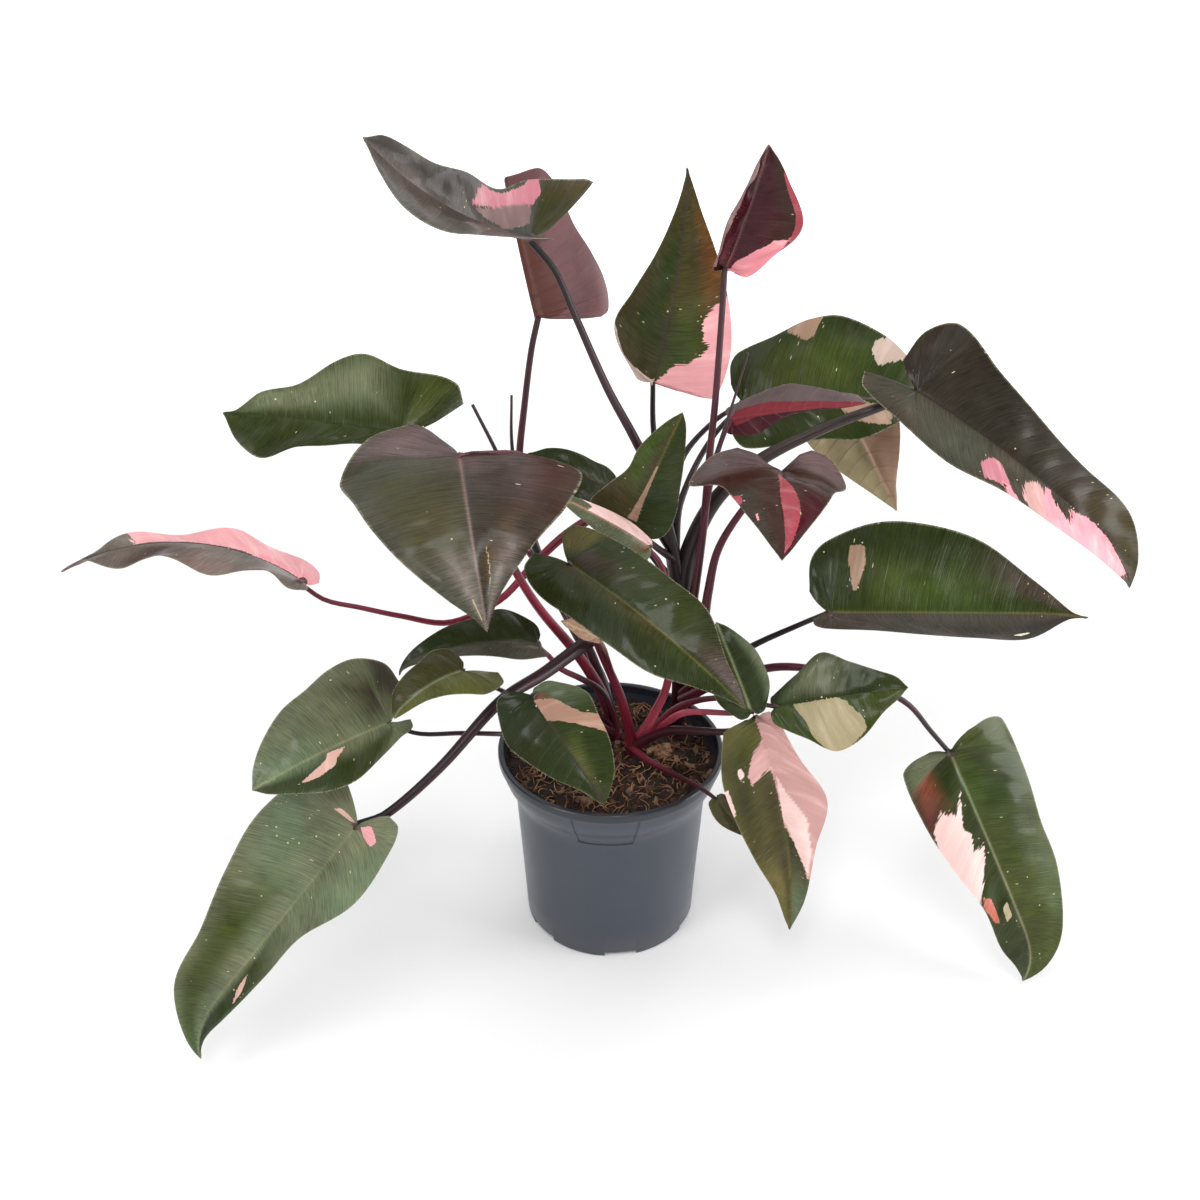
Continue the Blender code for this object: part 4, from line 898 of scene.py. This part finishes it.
        base=(-53, -92, 263), tip=(-5, -125, 198), faces=(0, -1, 0.8), droop=20,
        right=(12, 12, 27, 32, 27, 19, 8, 3), left=(4, 4, 18, 32, 30, 27, 19, 8), arch=(25, 15),
        slot="green", tones=("deep_green", "green"), rib="bronze", dull=0.34,
        patches=(
            ("salmon", ((0.04, 0.03), (0.10, -0.35), (0.18, -0.50), (0.25, -0.70), (0.28, -1.1), (0.44, -1.1),
                        (0.34, -0.50), (0.25, 0.03)), 0.14),
        ),
        stains_and_sheen=(("left", -0.1, 0.15, 0.0, 0.25, "rust"), ("left", -1.0, 0.1, 0.3, 1.1, "grey_green"),
                ("left", 0.5, 0.8, 0.0, 0.3, "yellow_olive"))),
    "leaf_centre_tan": dict(
        base=(-8, -40, 276), tip=(-34, -50, 296), faces=(0, -1, 0.8), droop=10,
        right=(2, 3, 9, 10, 9, 7, 5, 2), left=(1, 2, 4, 5, 6, 5, 3, 2),
        slot="tan", tones=("tan", "tan"), rib="beige", under=("tan", "tan")),
    "leaf_narrow_red": dict(
        base=(79, 6, 421), tip=(172, 24, 424), faces=(0, 1, 0.1), sway=-8,
        right=(3, 4, 8, 15, 20, 15, 9, 6), left=(4, 6, 13, 15, 6, 3, 3, 2), fold=(8, 8),
        slot="maroon", tones=("maroon", "maroon"), rib="red_pink", under=("grey_mauve", "maroon"), dull=0.34,
        patches=(
            ("rose_red", ((0.0, -0.45), (0.25, -0.15), (0.6, -0.3), (1.0, -0.6), (1.0, 0.3), (0.0, 0.4)),
             0.08),
        )),
}
PLAIN_LEAF = dict(droop=0, hook=0, sway=0, swayhook=0, twist=0, fold=(15, 15), arch=(25, 25), dip=(0, 0),
                  wave=(0.0, 0.0), waves=2.0, under=("grey_mauve", "grey_mauve"), dull=0.38, crumple=1.0,
                  patches=(), stains_and_sheen=())
for leaf in LEAVES.values():
    for key, plain in PLAIN_LEAF.items():
        leaf.setdefault(key, plain)


def smooth_point(points, share):
    """The point at a share of the chord length of a smooth curve through the points."""
    steps = [(b - a).length for a, b in zip(points, points[1:])]
    marks = [sum(steps[:i]) / sum(steps) for i in range(len(points))]
    marks[-1] = 1.0
    i = 0
    while i < len(points) - 2 and share >= marks[i + 1]:
        i += 1

    def slope(k):
        a, b = max(k - 1, 0), min(k + 1, len(points) - 1)
        return (points[b] - points[a]) / (marks[b] - marks[a])
    span = marks[i + 1] - marks[i]
    s = (share - marks[i]) / span
    return ((2 * s**3 - 3 * s**2 + 1) * points[i] + (s**3 - 2 * s**2 + s) * span * slope(i)
            + (3 * s**2 - 2 * s**3) * points[i + 1] + (s**3 - s**2) * span * slope(i + 1))


def midrib(leaf):
    """Frames (point, along, across, up) on a midrib of length 1 that leaves along +Y, face to +Z."""
    point, along, across, up = Vector((0, 0, 0)), Vector((0, 1, 0)), Vector((1, 0, 0)), Vector((0, 0, 1))
    frames = [(point, along, across, up)]
    for step in range(MIDRIB_STEPS):
        late = 2 * max(0.0, (step + 0.5) / MIDRIB_STEPS - LATE) / (1 - LATE)**2
        turn = Matrix.Rotation(-radians(leaf["droop"] + leaf["hook"] * late) / MIDRIB_STEPS, 3, across)
        along, up = turn @ along, turn @ up
        turn = Matrix.Rotation(-radians(leaf["sway"] + leaf["swayhook"] * late) / MIDRIB_STEPS, 3, up)
        along, across = turn @ along, turn @ across
        turn = Matrix.Rotation(radians(leaf["twist"]) / MIDRIB_STEPS, 3, along)
        across, up = turn @ across, turn @ up
        point = point + along / MIDRIB_STEPS
        frames.append((point, along, across, up))
    return frames


def turned_to(forward, upward):
    """Axes (across, forward, up) as columns, with forward kept and up as near upward as it can be."""
    forward = forward.normalized()
    up = (upward - forward * upward.dot(forward)).normalized()
    return Matrix((forward.cross(up), forward, up)).transposed()


def place_leaf(leaf):
    """The midrib's frames, its length, and the matrix that carries its ends to the leaf's base and tip."""
    frames = midrib(leaf)
    base, tip, end = Vector(leaf["base"]), Vector(leaf["tip"]), frames[-1][0]
    turn = turned_to(tip - base, Vector(leaf["faces"])) @ turned_to(end, Vector((0, 0, 1))).transposed()
    return frames, (tip - base).length / end.length, Matrix.Translation(base) @ turn.to_4x4()


def blade_point(leaf, frames, length, side, x, y, raised):
    """A point of the blade's top: x across the surface on side 0 (right) or 1 (left), y along the midrib."""
    share = y / length
    if share < 0:
        point, along, across, up = frames[0]
        centre = along * y
    else:
        place = min(share, 1.0) * MIDRIB_STEPS
        i = min(int(place), MIDRIB_STEPS - 1)
        a, b = frames[i], frames[i + 1]
        centre = a[0].lerp(b[0], place - i) * length
        across, up = a[2].lerp(b[2], place - i), a[3].lerp(b[3], place - i)
    half = (leaf["right"], leaf["left"])[side]
    fold = radians(leaf["fold"][side])
    curl = radians(leaf["arch"][side]) / max(half[2:])
    if abs(curl) < 1e-6:
        out, rise = x * cos(fold), x * sin(fold)
    else:
        out, rise = (sin(fold) - sin(fold - curl * x)) / curl, (cos(fold - curl * x) - cos(fold)) / curl
    dip_from = DIP_SHARE * length
    if y < dip_from:
        lowered = ((dip_from - y) / (dip_from + max(half[0], 1)))**2
        rise -= leaf["dip"][side] * lowered * min(1.0, 4 * x / max(half[2:]))
    return centre + across * (out, -out)[side] + up * (rise + raised)


def half_outline(leaf, length, side):
    """The margin of one half, from the inner end of its lobe round to the tip."""
    half = (leaf["right"], leaf["left"])[side]
    back, inner, widths = half[0], half[1], half[2:]
    outline = [Vector((inner, -back)), Vector((inner + 0.62 * (widths[0] - inner), -0.86 * back))]
    outline += [Vector((width, station * length)) for width, station in zip(widths, STATIONS)]
    return outline + [Vector((0, length))]


def within(value, low, high, soft):
    """How far a value is inside a range, from -1 outside to 1 inside, over a soft width."""
    return max(-1.0, min(1.0, (value - low) / soft, (high - value) / soft))


def depth_inside(place, corners):
    """How deep a place is inside an outline, or how far outside it as a negative number."""
    inside, nearest = False, 9.0
    for a, b in zip(corners, corners[1:] + corners[:1]):
        edge, offset = b - a, place - a
        share = max(0.0, min(1.0, offset.dot(edge) / max(edge.length_squared, 1e-9)))
        nearest = min(nearest, (offset - edge * share).length)
        if (a.y > place.y) != (b.y > place.y) and place.x < a.x + edge.x * (place.y - a.y) / edge.y:
            inside = not inside
    return nearest if inside else -nearest


def patch_at(patches, s, q):
    """The tone and the strength, from 0 to 1, of the patch at a place, with the last one given on top."""
    tone, best = TONES["cream"], 0.0
    for name, corners, soft, peak in patches:
        depth = depth_inside(Vector((s * PATCH_STRETCH, q)), corners)
        field = max(0.0, min(peak, 0.5 + depth / soft))
        if field > 0.5 or field > best:
            tone, best = TONES[name], max(field, best)
    return tone, best


def ground_at(leaf, side, s, q, x):
    """The blade's tone at a place, with its soft stain marks, some of them painted sheen, and the colour of
    its rib.
    """
    tone = Vector(TONES[leaf["tones"][side]])
    for name, low, high, inner, outer, colour_name in leaf["stains_and_sheen"]:
        if ("right", "left").index(name) == side:
            share = 0.5 + 0.5 * min(within(s, low, high, 0.15), within(q, inner, outer, 0.25))
            tone = tone.lerp(Vector(TONES[colour_name]), share * share * (3 - 2 * share))
    return tone.lerp(Vector(TONES[leaf["rib"]]), 0.9 * exp(-(x / 0.9)**2))


def patch_parts(tone, corners, soft=PATCH_SOFT, peak=1.0):
    """A patch in stretched shares: its tone, its corners, how wide its toothed edge is and how full it is."""
    return tone, [Vector((s * PATCH_STRETCH, q)) for s, q in corners], soft, peak


def blade_sheet(name, leaf):
    """The top face of one blade as a fine sheet that stores its tones, vein coordinates and thickness."""
    frames, length, matrix = place_leaf(leaf)
    veins = max(5, round(length / VEIN_PITCH) + 4)
    rows = veins * ROWS_PER_VEIN
    outlines = [half_outline(leaf, length, each) for each in (0, 1)]
    lobe_end = sum(next(i for i in range(101) if smooth_point(each, i / 100).y > LOBE_SHARE * length)
                   for each in outlines) / 200
    bm = bmesh.new()
    uv = bm.loops.layers.uv.new("veins")
    ground, tint, under = (bm.loops.layers.float_color.new(each) for each in ("ground", "tint", "under"))
    weights = bm.verts.layers.deform.new()
    rib = RIB_LEAST + length / RIB_GROWTH
    keel = BLADE_THICK + rib
    patches = [patch_parts(*patch) for patch in leaf["patches"]]
    for side, sign in ((0, 1), (1, -1)):
        grid = []
        for row in range(rows + 1):
            p = row / rows
            edge = smooth_point(outlines[side], p)
            root = length * max(0.0, (p - lobe_end) / (1 - lobe_end))**1.1
            late = min(1.0, p / max(lobe_end, 0.05))
            s = (p - lobe_end) / (1 - lobe_end) if p > lobe_end else p / lobe_end - 1
            ripple = leaf["wave"][side] * sin(2 * pi * (leaf["waves"] * p + 0.5 * side))
            ripple *= min(1.0, (1 - p) / RIPPLE_FADE)
            line = []
            for column in range(COLUMNS + 1):
                q = (column / COLUMNS)**CROWDING
                x = edge.x * q**(1.3 - 0.3 * late)
                y = root + (edge.y - root) * q**(0.9 + 0.6 * late)
                middle = 4 * q * (1 - q)
                groove = GROOVE * exp(-(x / RIB_WIDTH)**2) * (1 - max(0.0, s))
                pressed = PRESSED * (0.5 + 0.5 * cos(2 * pi * veins * p))**3 * middle**0.5
                swell = SWELL * noise.noise(Vector((x * sign, y, len(name))) * 0.05)
                pucker = noise.noise(Vector((1.3 * q, 0.6 * veins * p, side + len(name))))
                swell += PUCKER * leaf["crumple"] * pucker
                swell *= middle * min(1.0, (1 - p) / SWELL_FADE)
                raised = BLADE_THICK / 2 + ripple * q * q - groove - pressed + swell
                point = blade_point(leaf, frames, length, side, x, y, raised)
                vert = bm.verts.new(matrix @ point * MM)
                stem_share = exp(-(x / RIB_WIDTH)**2) * (1 - min(1.0, max(0.0, y / length)))**0.7
                thick = EDGE_THICK + (BLADE_THICK - EDGE_THICK) * min(1.0, 6 * (1 - q)) + rib * stem_share
                vert[weights][0] = min(1.0, thick / keel)
                tone, strength = patch_at(patches, s, q * sign)
                looks = ((q * sign, p * veins), (*ground_at(leaf, side, s, q, x), leaf["dull"]),
                         (*tone, strength), (*TONES[leaf["under"][side]], 1.0))
                line.append((vert, looks))
            grid.append(line)
        for row in range(rows):
            for column in range(COLUMNS):
                corners = (grid[row][column], grid[row][column + 1],
                           grid[row + 1][column + 1], grid[row + 1][column])
                if side == 1:
                    corners = corners[::-1]
                face = bm.faces.new([vert for vert, _ in corners])
                for loop, (_, looks) in zip(face.loops, corners):
                    loop[uv].uv, loop[ground], loop[tint], loop[under] = looks
    bmesh.ops.remove_doubles(bm, verts=bm.verts, dist=MERGE_WITHIN * MM)
    mesh = bpy.data.meshes.new(name)
    bm.to_mesh(mesh)
    bm.free()
    return mesh, keel


def add_blade(name, leaf, finishes):
    """One blade: its top sheet, given a thin margin and a standing rib below by Solidify."""
    mesh, keel = blade_sheet(name, leaf)
    blade = add_object(name.replace("leaf_", "blade_"), mesh)
    blade.vertex_groups.new(name="thickness")
    for finish in finishes:
        mesh.materials.append(finish)
    wall = blade.modifiers.new("wall", "SOLIDIFY")
    wall.thickness = keel * MM
    wall.offset = -1.0
    wall.vertex_group = "thickness"
    wall.material_offset = 1
    apply_all(blade)
    shade(blade, 55)
    return blade


def toothed(uv, strength):
    """Where a patch shows: its field, cut with teeth that run along the side veins."""
    teeth = uv.scaled(3.0, 7.0, 1.0).grain(1.0, 3.0, 0.6)
    small = uv.scaled(10.0, 26.0, 1.0).grain(1.0, 3.0, 0.6)
    return (strength + (teeth - 0.5) * 0.60 + (small - 0.5) * 0.20).rise(0.48, 0.52)


def side_veins(uv, spread):
    """Lines at the side veins: 1 on a vein, falling to 0 a share of the pitch away."""
    along = uv.axis(1) + 0.5
    away = along.math("FRACT", along) - 0.5
    return away.math("ABSOLUTE", away).rise(spread, 0.0)


def fine_lines(uv):
    """Fine streaks that run out between the side veins."""
    return uv.scaled(2.5, 16.0, 1.0).grain(1.0, 4.0, 0.6)


def flecks(place, uv, extra):
    """Cream flecks: small ones drawn out along the side veins, and a few round ones."""
    drawn = uv.scaled(6.0, 7.0, 1.0)
    lucky, dots = drawn.spots(1.0, "Color").axis(0), place.spots(DOT_CELLS, "Color").axis(0)
    crowd = place.grain(16, 2.0) * 0.10 - 0.05 + extra
    small = drawn.spots(1.0).rise(0.19, 0.13) * (lucky + crowd).rise(0.978, 0.985)
    round_ones = place.spots(DOT_CELLS).rise(0.18, 0.13) * (dots + crowd).rise(0.984, 0.989)
    return small.math("MAXIMUM", small, round_ones)


def leaf_top_finish():
    """The waxy top: mottled green or bronze, faint pressed veins, cream flecks, toothed pink sectors, and
    streaks along the veins that are partly painted sheen.
    """
    material, shader, place, uv = new_finish("leaf_top", Specular_IOR_Level=0.14, Coat_Weight=0.20,
                                              Coat_Roughness=0.18)
    ground, dull = place.stored("ground"), place.stored("ground", 3)
    tint, strength = place.stored("tint"), place.stored("tint", 3)
    out = uv.axis(0)
    out = out.math("ABSOLUTE", out)
    mottle = place.grain(28, 5.0, 0.62)
    fine = fine_lines(uv)
    vein = side_veins(uv, 0.06) * mottle.rise(0.42, 0.62)
    fine_vein = side_veins(uv.scaled(1.0, 5.0, 1.0), 0.45)
    warmth = place.grain(16, 3.0).rise(0.35, 0.65).mix(*LEAF_WARMTH)
    shifted = place.node("VectorMath", {"operation": "MULTIPLY"}, {0: ground, 1: warmth})
    # The mottling and the fine streaks along the veins lighten and darken the colour: partly the leaf's own
    # streaking, partly painted sheen.
    deep = shifted.times(mottle * 1.4 + fine * 2.1 - 0.75)
    veined = (vein * 0.20).mix(deep, VEIN_TONE)
    flecked = flecks(place, uv, strength * 0.5).mix(veined, FLECK_TONE)
    # A pale line along the margin: partly the margin's own paler colour, partly painted rim light.
    margin = out.rise(0.972, 0.99) * fine.rise(0.35, 0.6)
    edged = (margin * 0.75).mix(flecked, MARGIN_TONE)
    patch = toothed(uv, strength)
    blush = uv.scaled(0.8, 1.2, 1.0).grain(1.0, 4.0, 0.6)
    paler = (blush.rise(0.45, 0.75) * tint.axis(0) * 0.4).mix(tint, PALEST_PINK)
    tinted = paler.times(blush * 0.3 + fine * 0.12 + 0.78)
    relief = 1.0 - vein * 0.5 - fine_vein * 0.12 + place.grain(350, 3.0) * 0.25 + fine * 1.1
    feed(shader,
         Base_Color=patch.mix(edged, tinted),
         Roughness=dull + (mottle - 0.5) * 0.25 + (fine - 0.5) * 0.28 + patch * 0.08,
         Normal=relief.bump(0.00030, 0.9))
    return material


def leaf_under_finish():
    """The matt underside: paler and redder than the top, with the side veins standing out."""
    material, shader, place, uv = new_finish("leaf_underside", Specular_IOR_Level=0.2)
    under, tint, strength = place.stored("under"), place.stored("tint"), place.stored("tint", 3)
    mottle = place.grain(32, 5.0, 0.6)
    fine = fine_lines(uv)
    vein = side_veins(uv, 0.10) * mottle.rise(0.3, 0.6)
    veined = (vein * 0.25).mix(under.times(mottle * 1.1 + fine * 0.5 + 0.2), UNDER_VEIN_TONE)
    feed(shader,
         Base_Color=toothed(uv, strength).mix(veined, tint.times(0.6)),
         Roughness=0.36 + mottle * 0.2,
         Normal=(vein + place.grain(350, 3.0) * 0.3 + fine * 0.4).bump(0.0003, 0.8))
    return material


leaf_finishes = (leaf_top_finish(), leaf_under_finish())
for name, leaf in LEAVES.items():
    blade = add_blade(name, leaf, leaf_finishes)
    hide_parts(name)
    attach(blade, "root")


# The stems and leaf stalks.
# Three stems root in the soil. Every leaf stalk sheathes the one before it, so a stem is a tight bundle that
# comes apart upwards into smooth tapering stalks, near-black, with crimson and pink on the young ones.
STALK_SIDES = 14
STALK_PITCH = 6.0                  # length of a stalk to one ring of its mesh
STALK_TAPER = 1.6
STALK_UV = 0.01                    # of a stalk's pattern to a millimetre of it
LENTICEL_TONE = (0.32, 0.22, 0.18)
STEM_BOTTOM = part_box("stems_main")[0].z / MM
STALK_TONES = {
    "black": (0.009, 0.005, 0.006),
    "dusk": (0.044, 0.020, 0.024),
    "wine": (0.080, 0.011, 0.020),
    "crimson": (0.235, 0.018, 0.040),
    "rose": (0.480, 0.075, 0.120),
    "umber": (0.036, 0.024, 0.022),
    "straw": (0.260, 0.190, 0.130),
}

# A stalk is its leaf, or None for a bare one, its radius at the root and at the end, its tones from the root
# up, and the places that it passes through.
STEMS = {
    "stems_main": dict(slot="stalk_dark", stalks=(
        (None, 7.5, 5.5, ("black", "wine", "dusk"),
         ((50, 34, 146), (53, 33, 165), (54, 32, 183), (52, 32, 229), (49, 31, 273), (44, 28, 310))),
        ("leaf_top_left", 5.0, 2.2, ("black", "dusk", "black"),
         ((51, 30, 274), (44, 26, 311), (30, 22, 367), (16, 20, 399), (-3, 18, 437), (-25, 14, 491),
          (-37, 12, 520))),
        ("leaf_upright_back", 4.0, 1.8, ("black", "black", "black"),
         ((47, 30, 299), (38, 45, 340), (30, 58, 390))),
        ("leaf_cupped_young", 4.5, 2.0, ("black", "wine", "dusk"),
         ((54, 30, 190), (60, 18, 272), (65, 13, 340), (67, 13, 392), (69, 13, 428), (71, 15, 488))),
        ("leaf_narrow_red", 2.2, 1.3, ("wine", "wine", "wine"), ((65, 13, 340), (69, 7, 378), (73, 1, 404))),
        (None, 1.5, 0.8, ("dusk", "umber", "umber"),
         ((66, 13, 372), (73, -4, 412), (80, -5, 440), (88, 2, 468))),
        ("leaf_back_right", 4.0, 1.8, ("black", "black", "dusk"),
         ((47, 34, 297), (42, 60, 328), (54, 88, 355), (76, 106, 374))),
        ("leaf_back_right_under", 3.0, 1.5, ("black", "dusk", "dusk"),
         ((47, 34, 297), (52, 66, 330), (84, 118, 366), (130, 155, 382), (160, 166, 380))),
        ("leaf_far_right_dark", 8.0, 3.2, ("black", "umber", "umber"),
         ((51, 30, 265), (57, 32, 306), (74, 33, 346), (104, 35, 376), (145, 38, 398), (182, 40, 413))),
        ("leaf_centre_maroon", 5.0, 2.2, ("wine", "wine", "wine"),
         ((55, 28, 195), (66, 14, 240), (70, 10, 284), (75, 6, 320), (89, -4, 356), (103, -14, 381))),
        ("leaf_right_glossy", 4.0, 1.8, ("wine", "black", "black"),
         ((55, 26, 185), (77, 5, 222), (104, -20, 259), (130, -34, 283))),
        ("leaf_low_right", 4.5, 1.8, ("wine", "wine", "black"),
         ((55, 24, 180), (80, -5, 216), (111, -38, 250), (131, -48, 257), (165, -56, 255), (204, -60, 236),
          (226, -58, 209))),
        ("leaf_centre_upright", 3.0, 2.0, ("black", "dusk", "dusk"),
         ((46, 26, 301), (31, 12, 320), (20, 0, 337))),
        ("leaf_back_small", 3.5, 1.6, ("black", "black", "black"),
         ((50, 34, 272), (29, 50, 294), (8, 61, 318))),
        ("leaf_far_left_pink", 4.5, 1.6, ("black", "crimson", "wine"),
         ((44, 26, 311), (27, 22, 336), (-1, 15, 346), (-29, 4, 336), (-53, -10, 319), (-78, -22, 296),
          (-112, -34, 285), (-145, -40, 294), (-172, -42, 302), (-195, -42, 308))),
        ("leaf_low_left", 7.0, 3.0, ("black", "dusk", "black"),
         ((48, 28, 268), (28, 10, 277), (6, -2, 266), (-15, -14, 258), (-46, -45, 251), (-76, -80, 250),
          (-115, -115, 221), (-150, -134, 197))),
    )),
    "stems_front": dict(slot="stalk_red", stalks=(
        ("leaf_centre_front", 4.5, 2.2, ("crimson", "wine", "wine"),
         ((16, 6, 150), (14, 5, 166), (8, 0, 196), (2, -6, 218), (-11, -28, 267), (-20, -43, 308),
          (-26, -53, 330))),
        ("leaf_centre_tan", 1.8, 1.2, ("wine", "wine", "straw"),
         ((2, -8, 222), (-2, -20, 245), (-5, -33, 264))),
        ("leaf_centre_edge", 4.0, 1.8, ("rose", "crimson", "wine"),
         ((18, 7, 150), (23, 9, 157), (32, 12, 173), (42, 14, 198), (45, 11, 240), (41, 2, 288),
          (34, -7, 317))),
        ("leaf_right_small", 4.0, 1.6, ("crimson", "wine", "dusk"),
         ((18, 6, 150), (30, 2, 163), (45, -8, 191), (58, -20, 208), (72, -38, 224), (85, -56, 236),
          (99, -70, 242))),
        ("leaf_behind_centre", 4.0, 1.8, ("crimson", "rose", "dusk"),
         ((18, 6, 150), (28, 4, 162), (41, -6, 180), (53, -22, 200), (66, -42, 215), (84, -66, 231))),
        ("leaf_front_right_pink", 4.5, 2.2, ("wine", "dusk", "dusk"),
         ((18, 4, 150), (30, 0, 162), (46, -12, 177), (65, -32, 191), (83, -52, 205), (93, -62, 217))),
        ("leaf_tiny_right", 3.0, 1.5, ("crimson", "wine", "dusk"),
         ((16, 4, 150), (26, -11, 150), (45, -34, 154), (63, -60, 162))),
    )),
    "stems_left": dict(slot="stalk_dark", stalks=(
        ("leaf_rolled_mauve", 5.0, 2.2, ("black", "wine", "dusk"),
         ((3, 27, 150), (-2, 30, 172), (-8, 34, 195), (-27, 36, 235), (-49, 42, 284), (-65, 50, 338),
          (-66, 56, 367), (-62, 64, 402), (-56, 71, 444))),
        ("leaf_left_shield", 5.0, 2.4, ("wine", "crimson", "dusk"),
         ((3, 26, 150), (0, 23, 166), (-8, 20, 192), (-24, 6, 232), (-50, -20, 287), (-65, -42, 331),
          (-79, -56, 376), (-89, -65, 409))),
        ("leaf_left_upper", 4.5, 2.0, ("black", "wine", "dusk"),
         ((3, 26, 150), (0, 25, 170), (-16, 26, 224), (-37, 24, 269), (-65, 18, 322), (-98, 8, 366),
          (-123, 3, 396))),
        (None, 3.4, 1.2, ("black", "black", "dusk"),
         ((-49, 42, 284), (-63, 38, 328), (-78, 34, 377), (-95, 30, 420))),
        (None, 3.0, 0.9, ("black", "black", "dusk"),
         ((-58, 46, 315), (-66, 44, 345), (-70, 43, 385), (-69, 42, 422))),
        ("leaf_left_tailed", 3.5, 1.8, ("wine", "dusk", "rose"),
         ((3, 25, 150), (0, 16, 175), (-8, 6, 201), (-23, -6, 220), (-36, -14, 233), (-45, -26, 253))),
        ("leaf_left_curled", 3.0, 1.5, ("wine", "dusk", "black"),
         ((2, 25, 150), (-3, 14, 166), (-19, 0, 189), (-44, -25, 212), (-65, -45, 229), (-78, -60, 247),
          (-89, -77, 266))),
        ("leaf_left_lower", 3.0, 1.5, ("wine", "dusk", "black"),
         ((2, 24, 150), (-2, 12, 158), (-16, -8, 168), (-44, -45, 196), (-77, -74, 219), (-103, -84, 227),
          (-131, -90, 231))),
        ("leaf_front_over_pot", 3.5, 1.8, ("wine", "wine", "black"),
         ((2, 24, 150), (0, 10, 160), (-8, -10, 180), (-26, -50, 221), (-43, -78, 248))),
    )),
}


def stalk_end(leaf, radius, before):
    """Where a leaf's stalk meets its rib: just under the blade's base."""
    frames, _, matrix = place_leaf(leaf)
    up = matrix.to_3x3() @ frames[0][3]
    base = Vector(leaf["base"])
    lean = (base - Vector(before)).normalized().dot(up)
    return base - up * (BLADE_THICK / 2 + radius * sqrt(max(0.0, 1 - lean * lean)))


def stalk_tube(radii, tones, route):
    """A round stalk along a smooth curve, widest where it sheathes the stem, with its tone stored on it."""
    root, end = radii
    total = sum((b - a).length for a, b in zip(route, route[1:]))
    rings = max(8, round(total / STALK_PITCH))
    centres = [smooth_point(route, i / rings) for i in range(rings + 1)]
    bm = bmesh.new()
    uv = bm.loops.layers.uv.new("veins")
    tint = bm.loops.layers.float_color.new("tint")
    side = Vector((1, 0, 0))
    loops = []
    for i, centre in enumerate(centres):
        ahead = (centres[min(i + 1, rings)] - centres[max(i - 1, 0)]).normalized()
        side = (side - ahead * side.dot(ahead)).normalized()
        other = ahead.cross(side)
        radius = end + (root - end) * (1 - i / rings)**STALK_TAPER
        share = 2 * i / rings
        near, far = (tones[0], tones[1]) if share < 1 else (tones[1], tones[2])
        tone = Vector(STALK_TONES[near]).lerp(Vector(STALK_TONES[far]), share % 1 if share < 2 else 1)
        loop = []
        for k in range(STALK_SIDES):
            angle = 2 * pi * k / STALK_SIDES
            vert = bm.verts.new((centre + radius * (side * cos(angle) + other * sin(angle))) * MM)
            loop.append((vert, (k / STALK_SIDES, i * total / rings * STALK_UV), (*tone, 1.0)))
        loops.append(loop)
    for near, far in zip(loops, loops[1:]):
        for k in range(STALK_SIDES):
            after = (k + 1) % STALK_SIDES
            corners = (near[k], near[after], far[after], far[k])
            face = bm.faces.new([vert for vert, _, _ in corners])
            for loop, (_, place, tone) in zip(face.loops, corners):
                loop[uv].uv, loop[tint] = place, tone
                if after == 0 and place[0] == 0:
                    loop[uv].uv = (1.0, place[1])
    for cap in (loops[0][::-1], loops[-1]):
        face = bm.faces.new([vert for vert, _, _ in cap])
        for loop, (_, place, tone) in zip(face.loops, cap):
            loop[uv].uv, loop[tint] = place, tone
    mesh = bpy.data.meshes.new("stalk")
    bm.to_mesh(mesh)
    bm.free()
    return bpy.data.objects.new("stalk", mesh)


def add_stems(name, stem, finish):
    """One stem with its stalks, joined by a Boolean union so that no skin is left inside."""
    x, y, radius = STEM_FEET[name]
    foot = [Vector((x, y, STEM_BOTTOM)), Vector((x, y, SOIL_TOP)), Vector((x, y, SOIL_TOP + 6))]
    body = stalk_tube((radius, radius), ("black", "wine", "wine"), foot)
    body.name = name.replace("stems_", "stalks_")
    bpy.context.scene.collection.objects.link(body)
    group = bpy.data.collections.new(name)
    for leaf_name, root, end, tones, places in stem["stalks"]:
        route = [Vector(place) for place in places]
        if leaf_name:
            route.append(stalk_end(LEAVES[leaf_name], end, places[-1]))
        group.objects.link(stalk_tube((root, end), tones, route))
    body.data.materials.append(finish)
    for tube in group.objects:
        tube.data.materials.append(finish)
    union = body.modifiers.new("union", "BOOLEAN")
    union.operation = "UNION"
    union.solver = "EXACT"
    union.operand_type = "COLLECTION"
    union.collection = group
    apply_all(body)
    for tube in list(group.objects):
        bpy.data.objects.remove(tube)
    bpy.data.collections.remove(group)
    shade(body, 40)
    return body


def stalk_finish():
    """A waxy stalk skin: long fine ridges, darker and redder streaks, and a few pale lenticels."""
    material, shader, place, uv = new_finish("stalk_skin", Specular_IOR_Level=0.3)
    streaks = uv.scaled(9.0, 1.2, 1.0).grain(1.0, 3.0, 0.6)
    mottle = place.grain(90, 3.0, 0.6)
    ridges = uv.scaled(30.0, 0.5, 1.0).grain(1.0, 1.0, 0.4)
    deep = place.stored("tint").times(streaks * 1.5 + mottle * 0.6)
    pale = place.spots(420).rise(0.14, 0.08) * mottle.rise(0.55, 0.7)
    feed(shader,
         Base_Color=(pale * 0.5).mix(deep, LENTICEL_TONE),
         Roughness=0.26 + mottle * 0.18,
         Normal=(ridges + mottle * 0.3).bump(0.00025, 0.6))
    return material


stalk_skin = stalk_finish()
for name, stem in STEMS.items():
    stalks = add_stems(name, stem, stalk_skin)
    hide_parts(name)
    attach(stalks, "root")
